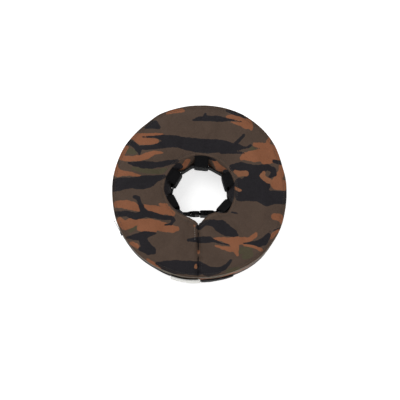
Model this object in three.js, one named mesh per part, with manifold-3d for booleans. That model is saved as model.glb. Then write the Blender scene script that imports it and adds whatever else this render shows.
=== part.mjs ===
// Inflatable soft recovery collar for a dog: a stuffed ring with a slit, worn round the neck.
// Units are millimetres. +Z is the ring's axis, towards the front face. The slit is on -Y, and the
// origin is on the ring's axis, in the plane that the back face rests on.
// The ring is a C that opens about its crown, opposite the slit, so each layer of the cover and the
// bladder is made as a left and a right half.
import * as THREE from "three";
import { mergeVertices } from "three/addons/utils/BufferGeometryUtils.js";
import Module from "manifold-3d";

const wasm = await Module();
wasm.setup();

// ---------------------------------------------------------------- driving dimensions
const OUTER_R = 155; // outer seams
const NECK_R = 65; // neck seams
const BACK_SEAM_Z = 6.2;
const FRONT_SEAM_Z = 73;
const CROWN_RISE = 5.6; // how far the front face stands above its seams
const OUTER_BULGE = 1.6;
const NECK_BULGE = 7.8;
const FABRIC = 1.4;
const GAP = 0.3; // between neighbouring pieces
const PIPING_R = 1.7;

const SLIT_X = -2; // plane where the two ends of the C meet
const PATCH = 1.2; // thickness of the hook and loop patches on the end faces
const CROWN_CUT = 0.2; // half the gap between the halves, at the crown

const WEB_WIDTH = 25;
const STRAP = 2; // strap thickness
const LOOP_WEB = 1.5;
// Where the strap passes through each loop: angle and distance from the axis, and the angle it faces.
const LOOPS = {
  crown: [86, 49, 84],
  left_upper: [149, 47, 150],
  left_lower: [201, 47, 207],
  right_lower: [330, 48, 318],
  right_upper: [22, 50.5, 16],
};

const BUCKLE_X = 1; // mouth of the female half
const BUCKLE_Y = -38.5;
const BUCKLE_WIDTH = 32;
const BUCKLE_DEPTH = 9;

const ZIP_Z = 18;
const ZIP_FROM = 204;
const ZIP_TO = 250.6;
const ZIP_TOP = 46;
const SLIDER_ANGLE = 206.4;
const PULL_TILT = 4; // degrees that the pull lies in from the tangent

const TAB_FROM = 251;
const TAB_FOLD = 271;
const TAB_TO = 292.5;
const TAB_Z = [12, 46];
const LABEL_Z = [23, 56];

const VALVE_ANGLE = 135;

// ---------------------------------------------------------------- worked out from them
const MID_R = (OUTER_R + NECK_R) / 2;
const MID_Z = (BACK_SEAM_Z + FRONT_SEAM_Z) / 2;
const WALL_HALF = (FRONT_SEAM_Z - BACK_SEAM_Z) / 2 - PIPING_R - GAP;
const PANEL_HALF = (OUTER_R - NECK_R) / 2 - PIPING_R - GAP;
const LEFT_END_X = SLIT_X - GAP / 2 - PATCH - GAP - FABRIC - GAP;
const RIGHT_END_X = SLIT_X + GAP / 2 + PATCH + GAP + FABRIC + GAP;
const deg = (a) => (a * Math.PI) / 180;

// ---------------------------------------------------------------- materials
const material = (color, roughness, metalness = 0) =>
  new THREE.MeshStandardMaterial({ color, roughness, metalness });
const camo = material(0x584a3e, 0.85);
const trim = material(0x4a4038, 0.8);
const webbing = material(0x131313, 0.8);
const plastic = material(0x17181a, 0.4);
const hook = material(0x1d1d1f, 0.95);
const vinyl = material(0x9fb4c0, 0.35);
const paper = material(0xe9e8e4, 0.7);
const metal = material(0x55565a, 0.35, 0.9);

const object = new THREE.Group();

function add(name, geometry, mat, parent = object) {
  const mesh = new THREE.Mesh(geometry, mat);
  mesh.name = name;
  parent.add(mesh);
  return mesh;
}

// ---------------------------------------------------------------- geometry helpers
function fromTriangles(points, triangles) {
  const geometry = new THREE.BufferGeometry();
  geometry.setAttribute("position", new THREE.Float32BufferAttribute(points.flat(), 3));
  geometry.setIndex(triangles.flat());
  return geometry;
}

// Winding that makes the closed surface face out: the signed volume tells which way it faces.
function facingOut(points, triangles) {
  const volume = triangles.reduce((sum, [a, b, c]) => {
    const [p, q, r] = [points[a], points[b], points[c]];
    return (
      sum +
      p[0] * (q[1] * r[2] - q[2] * r[1]) +
      p[1] * (q[2] * r[0] - q[0] * r[2]) +
      p[2] * (q[0] * r[1] - q[1] * r[0])
    );
  }, 0);
  return volume > 0 ? triangles : triangles.map(([a, b, c]) => [a, c, b]);
}

// A solid through a row of rings of points, closed by flat ends.
function loft(rings, capShape) {
  const count = rings[0].length;
  const points = rings.flat();
  const triangles = [];
  for (let i = 0; i + 1 < rings.length; i++)
    for (let k = 0; k < count; k++) {
      const [a, b] = [i * count + k, i * count + ((k + 1) % count)];
      triangles.push([a, b, b + count], [a, b + count, a + count]);
    }
  const outline = capShape.map(([x, y]) => new THREE.Vector2(x, y));
  const sense = Math.sign(THREE.ShapeUtils.area(outline));
  const last = (rings.length - 1) * count;
  for (const face of THREE.ShapeUtils.triangulateShape([...outline], [])) {
    // Triangles run the same way round as the outline.
    const same = Math.sign(THREE.ShapeUtils.area(face.map((i) => outline[i]))) === sense;
    const [a, b, c] = same ? face : [face[0], face[2], face[1]];
    triangles.push([a, c, b], [last + a, last + b, last + c]);
  }
  return fromTriangles(points, facingOut(points, triangles));
}

// A profile of [radius, z] points swept round the axis. from and to give each radius's end angle,
// so an end can lie in a plane of constant x.
function sweep(profile, from, to, steps) {
  const rings = [];
  for (let i = 0; i <= steps; i++)
    rings.push(
      profile.map(([r, z]) => {
        const a = from(r) + ((to(r) - from(r)) * i) / steps;
        return [r * Math.cos(a), r * Math.sin(a), z];
      }),
    );
  return loft(rings, profile);
}

const atAngle = (a) => () => deg(a);
const crownPlane = (x) => (r) => Math.acos(x / r);
const slitPlane = (x) => (r) => (x < 0 ? 2 * Math.PI : 0) - Math.acos(x / r);
const HALF_STEPS = 24;

// One layer of the ring on both sides of the crown: the left half and the right half.
const leftHalf = (profile, endX = LEFT_END_X) =>
  sweep(profile, crownPlane(-CROWN_CUT), slitPlane(endX), HALF_STEPS);
const rightHalf = (profile, endX = RIGHT_END_X) =>
  sweep(profile, crownPlane(CROWN_CUT), slitPlane(endX), HALF_STEPS);

// A closed [radius, z] profile between a curve and its copy moved by an offset.
function skin(curve, dr, dz) {
  return [...curve, ...curve.map(([r, z]) => [r + dr, z + dz]).reverse()];
}

const spread = (from, to, count) =>
  Array.from({ length: count }, (_, i) => from + ((to - from) * i) / (count - 1));

function extrude(outline, depth, options = {}) {
  const shape = new THREE.Shape(outline.map(([x, y]) => new THREE.Vector2(x, y)));
  return new THREE.ExtrudeGeometry(shape, { depth, bevelEnabled: false, ...options });
}

function box(x, y, z) {
  return new THREE.BoxGeometry(x[1] - x[0], y[1] - y[0], z[1] - z[0]).translate(
    (x[0] + x[1]) / 2,
    (y[0] + y[1]) / 2,
    (z[0] + z[1]) / 2,
  );
}

function solid(geometry) {
  const bare = geometry.clone();
  bare.deleteAttribute("normal");
  bare.deleteAttribute("uv");
  const merged = mergeVertices(bare, 1e-4);
  return new wasm.Manifold(
    new wasm.Mesh({
      numProp: 3,
      vertProperties: new Float32Array(merged.attributes.position.array),
      triVerts: new Uint32Array(merged.index.array),
    }),
  );
}

function geometryOf(manifold) {
  const mesh = manifold.getMesh();
  const geometry = new THREE.BufferGeometry();
  geometry.setAttribute("position", new THREE.BufferAttribute(mesh.vertProperties, mesh.numProp));
  geometry.setIndex(new THREE.BufferAttribute(mesh.triVerts, 1));
  return geometry;
}

const join = (...pieces) => geometryOf(pieces.map(solid).reduce((a, b) => a.add(b)));
const cut = (piece, ...tools) =>
  geometryOf(tools.map(solid).reduce((a, b) => a.subtract(b), solid(piece)));

// ---------------------------------------------------------------- the stuffed ring's surfaces
const wallShare = (z) => 1 - ((z - MID_Z) / WALL_HALF) ** 2;
const outerWall = (z) => OUTER_R + 0.2 + OUTER_BULGE * wallShare(z);
const neckWall = (z) => NECK_R - 0.2 - NECK_BULGE * wallShare(z);
const panelShare = (r, power) => 1 - Math.abs((r - MID_R) / PANEL_HALF) ** power;
const frontFace = (r) => FRONT_SEAM_Z + 0.7 + CROWN_RISE * panelShare(r, 2.5);
const backFace = (r) => BACK_SEAM_Z * (1 - Math.min(1, panelShare(r, 6) * 1.25));

const PANEL_RADII = spread(MID_R - PANEL_HALF, MID_R + PANEL_HALF, 8);
const WALL_HEIGHTS = spread(MID_Z - WALL_HALF, MID_Z + WALL_HALF, 6);

const frontPanel = skin(PANEL_RADII.map((r) => [r, frontFace(r)]), 0, -FABRIC);
const backPanel = skin(PANEL_RADII.map((r) => [r, backFace(r)]), 0, FABRIC);
const outerGusset = skin(WALL_HEIGHTS.map((z) => [outerWall(z), z]), -FABRIC, 0);
const neckGusset = skin(WALL_HEIGHTS.map((z) => [neckWall(z), z]), FABRIC, 0);

function pipingProfile(r, z) {
  return spread(0, 288, 5).map((a) => [r + PIPING_R * Math.cos(deg(a)), z + PIPING_R * Math.sin(deg(a))]);
}

// The air chamber fills the cover, with rounded corners that leave room for the zip and the seams.
function bladderProfile() {
  const clear = FABRIC + 0.5;
  const outer = outerWall(MID_Z) - clear;
  const [low, high] = [clear, frontFace(MID_R) - clear];
  const neck = (z) => [neckWall(z) + clear + 0.4, z];
  return [
    [MID_R, low],
    [137, low + 0.4],
    [148, 11],
    [outer - 0.6, 32],
    [outer - 0.6, 56],
    [147, 68.5],
    [132, high - 0.9],
    [MID_R, high],
    [86, high - 1.4],
    [72, 68.5],
    neck(58),
    neck(MID_Z),
    neck(21),
    [72, 11],
    [83, low + 0.4],
  ];
}

// ---------------------------------------------------------------- cover and bladder
// Tools that cut the left outer gusset and the bladder, turned from the +X direction to an angle.
function radialCylinder(radius, from, to, angle, z) {
  return new THREE.CylinderGeometry(radius, radius, to - from, 20)
    .rotateZ(-Math.PI / 2)
    .translate((from + to) / 2, 0, z)
    .rotateZ(deg(angle));
}

function makeCover(side) {
  const left = side === "left";
  const half = left ? leftHalf : rightHalf;
  add(`front_panel_${side}`, half(frontPanel), camo);
  add(`back_panel_${side}`, half(backPanel), camo);
  add(`neck_gusset_${side}`, half(neckGusset), camo);
  for (const [where, r] of [["outer", OUTER_R], ["neck", NECK_R]])
    for (const [face, z] of [["front", FRONT_SEAM_Z], ["back", BACK_SEAM_Z]])
      add(`${face}_${where}_piping_${side}`, half(pipingProfile(r, z)), trim);
}

function makeOuterGussets() {
  const window = sweep(
    [[150, 0], [160, 0], [160, ZIP_TOP + GAP], [150, ZIP_TOP + GAP]],
    atAngle(ZIP_FROM - 0.2),
    atAngle(ZIP_TO + 0.2),
    12,
  );
  const port = radialCylinder(11, 148, 162, VALVE_ANGLE, MID_Z);
  add("outer_gusset_left", cut(leftHalf(outerGusset), window, port), camo);
  add("outer_gusset_right", rightHalf(outerGusset), camo);
}

function makeBladder() {
  const recess = radialCylinder(15, 151.6, 162, VALVE_ANGLE, MID_Z);
  const bore = radialCylinder(5.6, 139, 162, VALVE_ANGLE, MID_Z);
  add("bladder_left", cut(leftHalf(bladderProfile(), LEFT_END_X - 0.5), recess, bore), vinyl);
  add("bladder_right", rightHalf(bladderProfile(), RIGHT_END_X + 0.5), vinyl);
}

// The ends of the C: a fabric end panel, then a hook or loop patch that meets its partner.
function makeEnds() {
  const [innerR, outerR] = [NECK_R - 0.5, OUTER_R + 0.5];
  const [low, high] = [BACK_SEAM_Z - 1, FRONT_SEAM_Z + 1];
  const outline = [
    [-outerR, low + 6],
    [-outerR + 8, low - 3],
    [-innerR - 8, low - 3],
    [-innerR, low + 6],
    [-innerR + 6, MID_Z],
    [-innerR, high - 6],
    [-innerR - 10, high + 3],
    [-MID_R, high + 4.4],
    [-outerR + 10, high + 3],
    [-outerR, high - 6],
  ];
  const patch = [
    [-outerR + 12, 14],
    [-innerR - 12, 14],
    [-innerR - 12, 64],
    [-outerR + 12, 64],
  ];
  const plate = (points, x, thickness) =>
    extrude(points, thickness).rotateX(Math.PI / 2).rotateZ(Math.PI / 2).translate(x, 0, 0);
  const leftPatch = SLIT_X - GAP / 2 - PATCH;
  const rightPatch = SLIT_X + GAP / 2;
  add("end_loop_patch_left", plate(patch, leftPatch, PATCH), hook);
  add("end_panel_left", plate(outline, leftPatch - GAP - FABRIC, FABRIC), camo);
  add("end_hook_patch_right", plate(patch, rightPatch, PATCH), hook);
  add("end_panel_right", plate(outline, rightPatch + PATCH + GAP, FABRIC), camo);
}

// ---------------------------------------------------------------- neck strap and its loops
// Each loop is a flat strip of webbing sewn into the front and back neck seams.
function makeWebbingLoops() {
  const wall = NECK_R - 1.2;
  const rise = WEB_WIDTH / 2 + 3;
  for (const [name, [at, out, facing]] of Object.entries(LOOPS)) {
    const aside = out * Math.sin(deg(at - facing));
    const root = Math.sqrt(wall ** 2 - (WEB_WIDTH / 2 + Math.abs(aside)) ** 2);
    const strapFace = out * Math.cos(deg(at - facing)) - STRAP / 2 - 0.6;
    const line = [
      [root, MID_Z + 30],
      [strapFace, MID_Z + rise],
      [strapFace, MID_Z - rise],
      [root, MID_Z - 30],
    ];
    const outline = [...line, ...line.map(([r, z]) => [r - LOOP_WEB, z]).reverse()];
    const geometry = extrude(outline, WEB_WIDTH)
      .translate(0, 0, -WEB_WIDTH / 2)
      .rotateX(Math.PI / 2)
      .translate(0, aside, 0);
    add(`webbing_loop_${name}`, geometry, webbing).rotation.z = deg(facing);
  }
}

// The two corners of the strap's straight stretch through a loop, in the strap's sense of travel.
function throughLoop(name, sense, reach = [16, 16]) {
  const [at, out, facing] = LOOPS[name];
  const along = [-Math.sin(deg(facing)) * sense, Math.cos(deg(facing)) * sense];
  const centre = [out * Math.cos(deg(at)), out * Math.sin(deg(at))];
  return [-reach[0], reach[1]].map((d) => [centre[0] + d * along[0], centre[1] + d * along[1], 8]);
}

// A line through corner points, each rounded by its own radius.
function rounded(corners) {
  const line = [corners[0].slice(0, 2)];
  for (let i = 1; i + 1 < corners.length; i++) {
    const [before, at, after] = [corners[i - 1], corners[i], corners[i + 1]].map(
      ([x, y]) => new THREE.Vector2(x, y),
    );
    const into = at.clone().sub(before).normalize();
    const out = after.clone().sub(at).normalize();
    const turn = Math.atan2(into.cross(out), into.dot(out));
    const radius = corners[i][2];
    const start = at.clone().addScaledVector(into, -radius * Math.tan(Math.abs(turn) / 2));
    const side = new THREE.Vector2(-into.y, into.x).multiplyScalar(Math.sign(turn) * radius);
    const centre = start.clone().add(side);
    const steps = Math.max(2, Math.ceil(Math.abs(turn) / deg(30)));
    for (let k = 0; k <= steps; k++) {
      const p = start.clone().rotateAround(centre, (turn * k) / steps);
      line.push([p.x, p.y]);
    }
  }
  line.push(corners.at(-1).slice(0, 2));
  return line;
}

// A flat strap standing on edge along a line, as wide as the webbing.
function standingStrap(line) {
  const sideAt = (i) => {
    const before = new THREE.Vector2(...line[Math.max(0, i - 1)]);
    const after = new THREE.Vector2(...line[Math.min(line.length - 1, i + 1)]);
    const along = after.sub(before).normalize();
    return [-along.y * (STRAP / 2), along.x * (STRAP / 2)];
  };
  const edge = (sign) => line.map(([x, y], i) => [x + sign * sideAt(i)[0], y + sign * sideAt(i)[1]]);
  return extrude([...edge(1), ...edge(-1).reverse()], WEB_WIDTH).translate(0, 0, MID_Z - WEB_WIDTH / 2);
}

const BAR = 1.2; // half the thickness of a buckle's strap bar
const WRAP = 2.9; // strap centreline's radius round a bar
const MALE_BAR_X = BUCKLE_X - 14.4;
const FEMALE_BAR_X = BUCKLE_X + 24.6;

function makeStrap() {
  const [near, far] = [BUCKLE_Y + WRAP, BUCKLE_Y - WRAP];
  const doubled = STRAP / 2 + 0.15; // two layers lie face to face
  const crown = throughLoop("crown", -1);
  const [, crownOut, crownFacing] = LOOPS.crown;
  const crownAt = [...crown[0].slice(0, 2)];
  // The strap's height where the crown stretch meets the plane between the halves.
  const crownY = (x) => crownAt[1] + (x - crownAt[0]) / -Math.tan(deg(crownFacing));
  add(
    "neck_strap_left",
    standingStrap(
      rounded([
        [MALE_BAR_X - 17, BUCKLE_Y - doubled],
        [MALE_BAR_X - 8, BUCKLE_Y - doubled, 6],
        [MALE_BAR_X - 2, far, 5],
        [MALE_BAR_X + WRAP, far, WRAP],
        [MALE_BAR_X + WRAP, near, WRAP],
        [MALE_BAR_X - 2, near, 5],
        [MALE_BAR_X - 8, BUCKLE_Y + doubled, 6],
        [MALE_BAR_X - 18, BUCKLE_Y + doubled, 5],
        ...throughLoop("left_lower", -1),
        ...throughLoop("left_upper", -1),
        crown[0],
        [-CROWN_CUT, crownY(-CROWN_CUT)],
      ]),
    ),
    webbing,
  );
  add(
    "neck_strap_right",
    standingStrap(
      rounded([
        [FEMALE_BAR_X + 5, far],
        [FEMALE_BAR_X - WRAP, far, WRAP],
        [FEMALE_BAR_X - WRAP, near, WRAP],
        ...throughLoop("right_lower", 1, [15.5, 16]),
        ...throughLoop("right_upper", 1),
        crown[1],
        [CROWN_CUT, crownY(CROWN_CUT)],
      ]),
    ),
    webbing,
  );
}

// ---------------------------------------------------------------- side release buckle
// The buckle lies along X. Its width is along Z, and its thickness along Y.
function buckleSlab(x, width, thickness, bevel = 0.8) {
  const inset = bevel + 1.6;
  const [x0, x1] = [x[0] + bevel, x[1] - bevel];
  const [z0, z1] = [MID_Z - width / 2 + bevel, MID_Z + width / 2 - bevel];
  const outline = [
    [x0, z0 + inset],
    [x0 + inset, z0],
    [x1 - inset, z0],
    [x1, z0 + inset],
    [x1, z1 - inset],
    [x1 - inset, z1],
    [x0 + inset, z1],
    [x0, z1 - inset],
  ];
  return extrude(outline, thickness - 2 * bevel, {
    bevelEnabled: true,
    bevelSize: bevel,
    bevelThickness: bevel,
    bevelSegments: 1,
  })
    .translate(0, 0, bevel - thickness / 2)
    .rotateX(Math.PI / 2)
    .translate(0, BUCKLE_Y, 0);
}

const across = (half) => [BUCKLE_Y - half, BUCKLE_Y + half];
const widthwise = (half) => [MID_Z - half, MID_Z + half];

function makeBuckle() {
  const end = FEMALE_BAR_X + BAR;
  const cavity = box([BUCKLE_X - 1, BUCKLE_X + 17], across(2.5), widthwise(13));
  const windows = box([BUCKLE_X + 7, BUCKLE_X + 15.5], across(2.5), widthwise(20));
  const slot = box([FEMALE_BAR_X - BAR - 4.2, FEMALE_BAR_X - BAR], across(10), widthwise(13.2));
  const relief = [-1, 1].map((s) =>
    box([FEMALE_BAR_X - BAR - 1, end + 1], [BUCKLE_Y + s * 3.7 - 2.5, BUCKLE_Y + s * 3.7 + 2.5], widthwise(13.2)),
  );
  add(
    "buckle_female",
    cut(buckleSlab([BUCKLE_X, end], BUCKLE_WIDTH, BUCKLE_DEPTH), cavity, windows, slot, ...relief),
    plastic,
  );

  const start = MALE_BAR_X - BAR;
  const root = BUCKLE_X - GAP;
  const base = cut(
    buckleSlab([start, root], BUCKLE_WIDTH, 6.4),
    box([MALE_BAR_X + BAR, MALE_BAR_X + BAR + 4.2], across(10), widthwise(13.2)),
    ...[-1, 1].map((s) =>
      box([start - 1, MALE_BAR_X + BAR + 1], [BUCKLE_Y + s * 3.7 - 2.5, BUCKLE_Y + s * 3.7 + 2.5], widthwise(13.2)),
    ),
  );
  const guide = box([root - 2, BUCKLE_X + 14], across(1.5), widthwise(2.2));
  add("buckle_male", join(base, guide), plastic);

  for (const [name, s] of [["front", 1], ["back", -1]]) {
    const arm = [
      [root + GAP, 8.6],
      [BUCKLE_X + 7.6, 8.6],
      [BUCKLE_X + 14.6, 9.4],
      [BUCKLE_X + 15, 12],
      [BUCKLE_X + 13.2, 15.7],
      [BUCKLE_X + 9.6, 15.7],
      [BUCKLE_X + 7.5, 14.2],
      [BUCKLE_X + 7.4, 12.2],
      [root + GAP, 12.2],
    ].map(([x, w]) => [x, MID_Z + s * w]);
    const geometry = extrude(s > 0 ? arm : arm.reverse(), 4)
      .translate(0, 0, -2)
      .rotateX(Math.PI / 2)
      .translate(0, BUCKLE_Y, 0);
    add(`release_prong_${name}`, geometry, plastic);
  }
}

// ---------------------------------------------------------------- zip in the left outer wall
const ZIP_CHAIN_R = [154.9, 157.3];

function zipTape(from, to) {
  const curve = spread(from, to, 3).map((z) => [outerWall(z) - 0.1, z]);
  return sweep(skin(curve, -1.2, 0), atAngle(ZIP_FROM), atAngle(ZIP_TO), 12);
}

// A row of teeth on a cord edge. The teeth stop short of the middle, where the slider's post runs.
function zipTeeth(sign) {
  const [from, to] = [ZIP_FROM + 3.2, ZIP_TO - 1];
  const count = 18;
  const pitch = (to - from) / count;
  const [edge, root, tip] = [2.5, 1.9, 0.8].map((d) => ZIP_Z + sign * d);
  const ring = (angle, reach) =>
    [
      [ZIP_CHAIN_R[0], edge],
      [ZIP_CHAIN_R[1], edge],
      [ZIP_CHAIN_R[1], reach],
      [ZIP_CHAIN_R[0], reach],
    ].map(([r, z]) => [r * Math.cos(deg(angle)), r * Math.sin(deg(angle)), z]);
  const rings = [];
  for (let i = 0; i < count; i++) {
    const a = from + i * pitch;
    rings.push(ring(a + 0.02, root), ring(a + 0.04, tip), ring(a + pitch / 2, tip), ring(a + pitch / 2 + 0.02, root));
  }
  return loft(rings, [[0, 0], [1, 0], [1, 1], [0, 1]]);
}

function makeZip() {
  add("zip_tape_upper", zipTape(ZIP_Z + 2.8, ZIP_TOP), webbing);
  add("zip_tape_lower", zipTape(BACK_SEAM_Z + PIPING_R + GAP, ZIP_Z - 2.8), webbing);
  add("zip_teeth_upper", zipTeeth(1), plastic);
  add("zip_teeth_lower", zipTeeth(-1), plastic);
  const stop = sweep(
    [[154.6, ZIP_Z - 2.4], [157.5, ZIP_Z - 2.4], [157.5, ZIP_Z + 2.4], [154.6, ZIP_Z + 2.4]],
    atAngle(ZIP_TO - 0.8),
    atAngle(ZIP_TO - 0.1),
    2,
  );
  add("zip_end_stop", stop, metal);

  const slider = new THREE.Group();
  slider.rotation.z = deg(SLIDER_ANGLE);
  object.add(slider);
  const post = box([153.5, 158], [-5, -0.5], [ZIP_Z - 0.5, ZIP_Z + 0.5]);
  const bridge = cut(
    box([158.9, 162], [-3.6, 3.6], [ZIP_Z - 1.3, ZIP_Z + 1.3]),
    box([159.3, 161], [-2.6, 2.6], [ZIP_Z - 2, ZIP_Z + 2]),
  );
  add(
    "zip_slider",
    join(
      box([157.7, 159.2], [-6, 6], [ZIP_Z - 4.5, ZIP_Z + 4.5]),
      box([152.4, 154], [-6, 6], [ZIP_Z - 4.5, ZIP_Z + 4.5]),
      post,
      bridge,
    ),
    metal,
    slider,
  );
  const pull = [
    [-0.5, -4.2],
    [0.5, -4.2],
    [0.5, -3.3],
    [0.5, 3.3],
    [0.5, 4.2],
    [-0.5, 4.2],
    [-24, 4.6],
    [-30, 3.4],
    [-31, 0],
    [-30, -3.4],
    [-24, -4.6],
  ];
  const plate = extrude(pull, 1)
    .rotateX(Math.PI / 2)
    .rotateZ(Math.PI / 2)
    .translate(-0.5, 0, 0);
  const eye = box([-2, 2], [-5.5, -0.5], [-3.2, 3.2]);
  const mesh = add("zip_pull", cut(plate, eye), metal, slider);
  mesh.position.set(160.1, 0, ZIP_Z);
  mesh.rotation.z = deg(PULL_TILT);
}

// ---------------------------------------------------------------- closure tab over the slit
// A tab sewn to the left end reaches over the slit and sticks to a loop patch on the right end.
function wallLayer(depths, heights, from, to, steps) {
  const curve = spread(...heights, 4).map((z) => [outerWall(z) + depths[0], z]);
  return sweep(skin(curve, depths[1] - depths[0], 0), atAngle(from), atAngle(to), steps);
}

function makeClosure() {
  const [low, high] = TAB_Z;
  const inside = [low + 1, high - 1];
  add("closure_tab_base", wallLayer([0.3, 2.9], TAB_Z, TAB_FROM, TAB_FOLD, 5), webbing);
  add("closure_tab_flap", wallLayer([2.1, 2.9], TAB_Z, TAB_FOLD + 0.15, TAB_TO, 6), webbing);
  add("closure_hook_strip", wallLayer([1.2, 1.8], inside, TAB_FOLD + 2, TAB_TO - 0.5, 6), hook);
  add("closure_loop_patch", wallLayer([0.3, 0.9], inside, TAB_FOLD + 1.5, TAB_TO + 1.5, 6), hook);
  add("blank_label", wallLayer([3.2, 3.5], LABEL_Z, TAB_FROM + 0.3, TAB_FOLD - 0.4, 5), paper);
}

// ---------------------------------------------------------------- inflation valve
function lathe(profile) {
  // The profile is [radius, distance along the valve's axis]; the axis ends up along +X.
  const points = profile.map(([r, h]) => new THREE.Vector2(r, h));
  return new THREE.LatheGeometry([...points, points[0]], 20).rotateZ(-Math.PI / 2);
}

function makeValve() {
  const valve = new THREE.Group();
  valve.rotation.z = deg(VALVE_ANGLE);
  valve.position.z = MID_Z;
  object.add(valve);
  const tube = (inner, outer, from, to) => [
    [inner, from],
    [outer, from],
    [outer, to],
    [inner, to],
  ];
  add("valve_flange", lathe(tube(5.3, 14, 152, 153.5)), vinyl, valve);
  const eyelet = [
    [8, 154.2],
    [10.6, 154.2],
    [10.6, 157.2],
    [14, 157.2],
    [13.6, 158.3],
    [8, 158.3],
  ];
  add("valve_port_eyelet", lathe(eyelet), metal, valve);
  add("valve_stem", lathe(tube(3.2, 5, 141, 157.6)), vinyl, valve);
  const disc = new THREE.CylinderGeometry(5.4, 5.6, 1.8, 20).rotateZ(-Math.PI / 2).translate(158.8, 0, 0);
  const spigot = new THREE.CylinderGeometry(2, 1.8, 2.6, 16).rotateZ(-Math.PI / 2).translate(156.9, 0, 0);
  const ear = box([158.6, 159.6], [-2, 2], [4, 8.4]);
  add("valve_plug", join(disc, spigot, ear), vinyl, valve);
}

makeCover("left");
makeCover("right");
makeOuterGussets();
makeBladder();
makeEnds();
makeWebbingLoops();
makeStrap();
makeBuckle();
makeZip();
makeClosure();
makeValve();

export default object;
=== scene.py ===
"""Looks of the inflatable recovery collar: its camouflage cover, webbing, buckle, zip, label and valve.

Shapes are worked out in millimetres and turned into metres as each mesh is made. Angles are in degrees
about the ring's axis, from +X. The slit is at 270 degrees and the crown, where the ring bends, at 90.
"""
import math

import bmesh
import bpy
import numpy as np
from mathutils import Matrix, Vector
from mathutils.bvhtree import BVHTree


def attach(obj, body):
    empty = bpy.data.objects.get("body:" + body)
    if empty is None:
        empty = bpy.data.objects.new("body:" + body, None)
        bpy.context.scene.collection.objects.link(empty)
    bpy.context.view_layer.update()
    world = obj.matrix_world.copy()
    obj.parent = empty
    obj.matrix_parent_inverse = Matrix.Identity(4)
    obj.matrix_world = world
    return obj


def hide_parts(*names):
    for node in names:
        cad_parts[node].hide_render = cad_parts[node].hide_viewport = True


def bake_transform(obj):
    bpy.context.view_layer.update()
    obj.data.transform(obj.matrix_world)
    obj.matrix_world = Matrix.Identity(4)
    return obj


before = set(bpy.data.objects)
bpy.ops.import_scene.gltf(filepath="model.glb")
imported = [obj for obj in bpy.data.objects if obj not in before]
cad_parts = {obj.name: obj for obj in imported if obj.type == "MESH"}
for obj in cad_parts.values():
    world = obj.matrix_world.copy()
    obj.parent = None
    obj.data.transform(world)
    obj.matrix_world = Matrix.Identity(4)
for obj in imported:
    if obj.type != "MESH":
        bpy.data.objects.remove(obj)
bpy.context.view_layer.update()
MM = 0.001

# ---------------------------------------------------------------- sizes, as in the CAD model
NECK_R, OUTER_R = 65.0, 155.0
BACK_Z, FRONT_Z = 6.2, 73.0
FLOOR_GAP = 0.3  # height of the cloth's lowest point
MID_R = (NECK_R + OUTER_R) / 2
MID_Z = (BACK_Z + FRONT_Z) / 2
CROWN_RISE, CROWN_CURVE = 6.4, 2.5  # how the front face swells between its seams
OUTER_BULGE = 1.6
NECK_BULGE = 7.5
LEFT_END_X, RIGHT_END_X = -3.6, -0.4
SLIT_X = (LEFT_END_X + RIGHT_END_X) / 2
SLIT_SIDE_X = -1.9  # cloth below this x is on the slit's left side
BEND = 46.0  # the ring bends between x = -BEND and x = +BEND, beside the crown
PIPING_R = 1.7

COLUMN, ROW = 5.2, 5.2  # a cloth cell's size round the ring and across it, before it is divided
SIDE_SPAN, SIDE_R = 163, MID_R + 20  # what a side zone's cells are counted along: degrees and radius
TOP_COLUMNS = 20

SECTION_FRONT, SECTION_OUTER, SECTION_BACK, SECTION_NECK, SECTION_END = range(5)
REGIONS = ("front_panel", "outer_gusset", "back_panel", "neck_gusset", "end_panel")
RIGHT, TOP, LEFT = range(3)
SIDES = ("right", "crown", "left")


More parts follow.
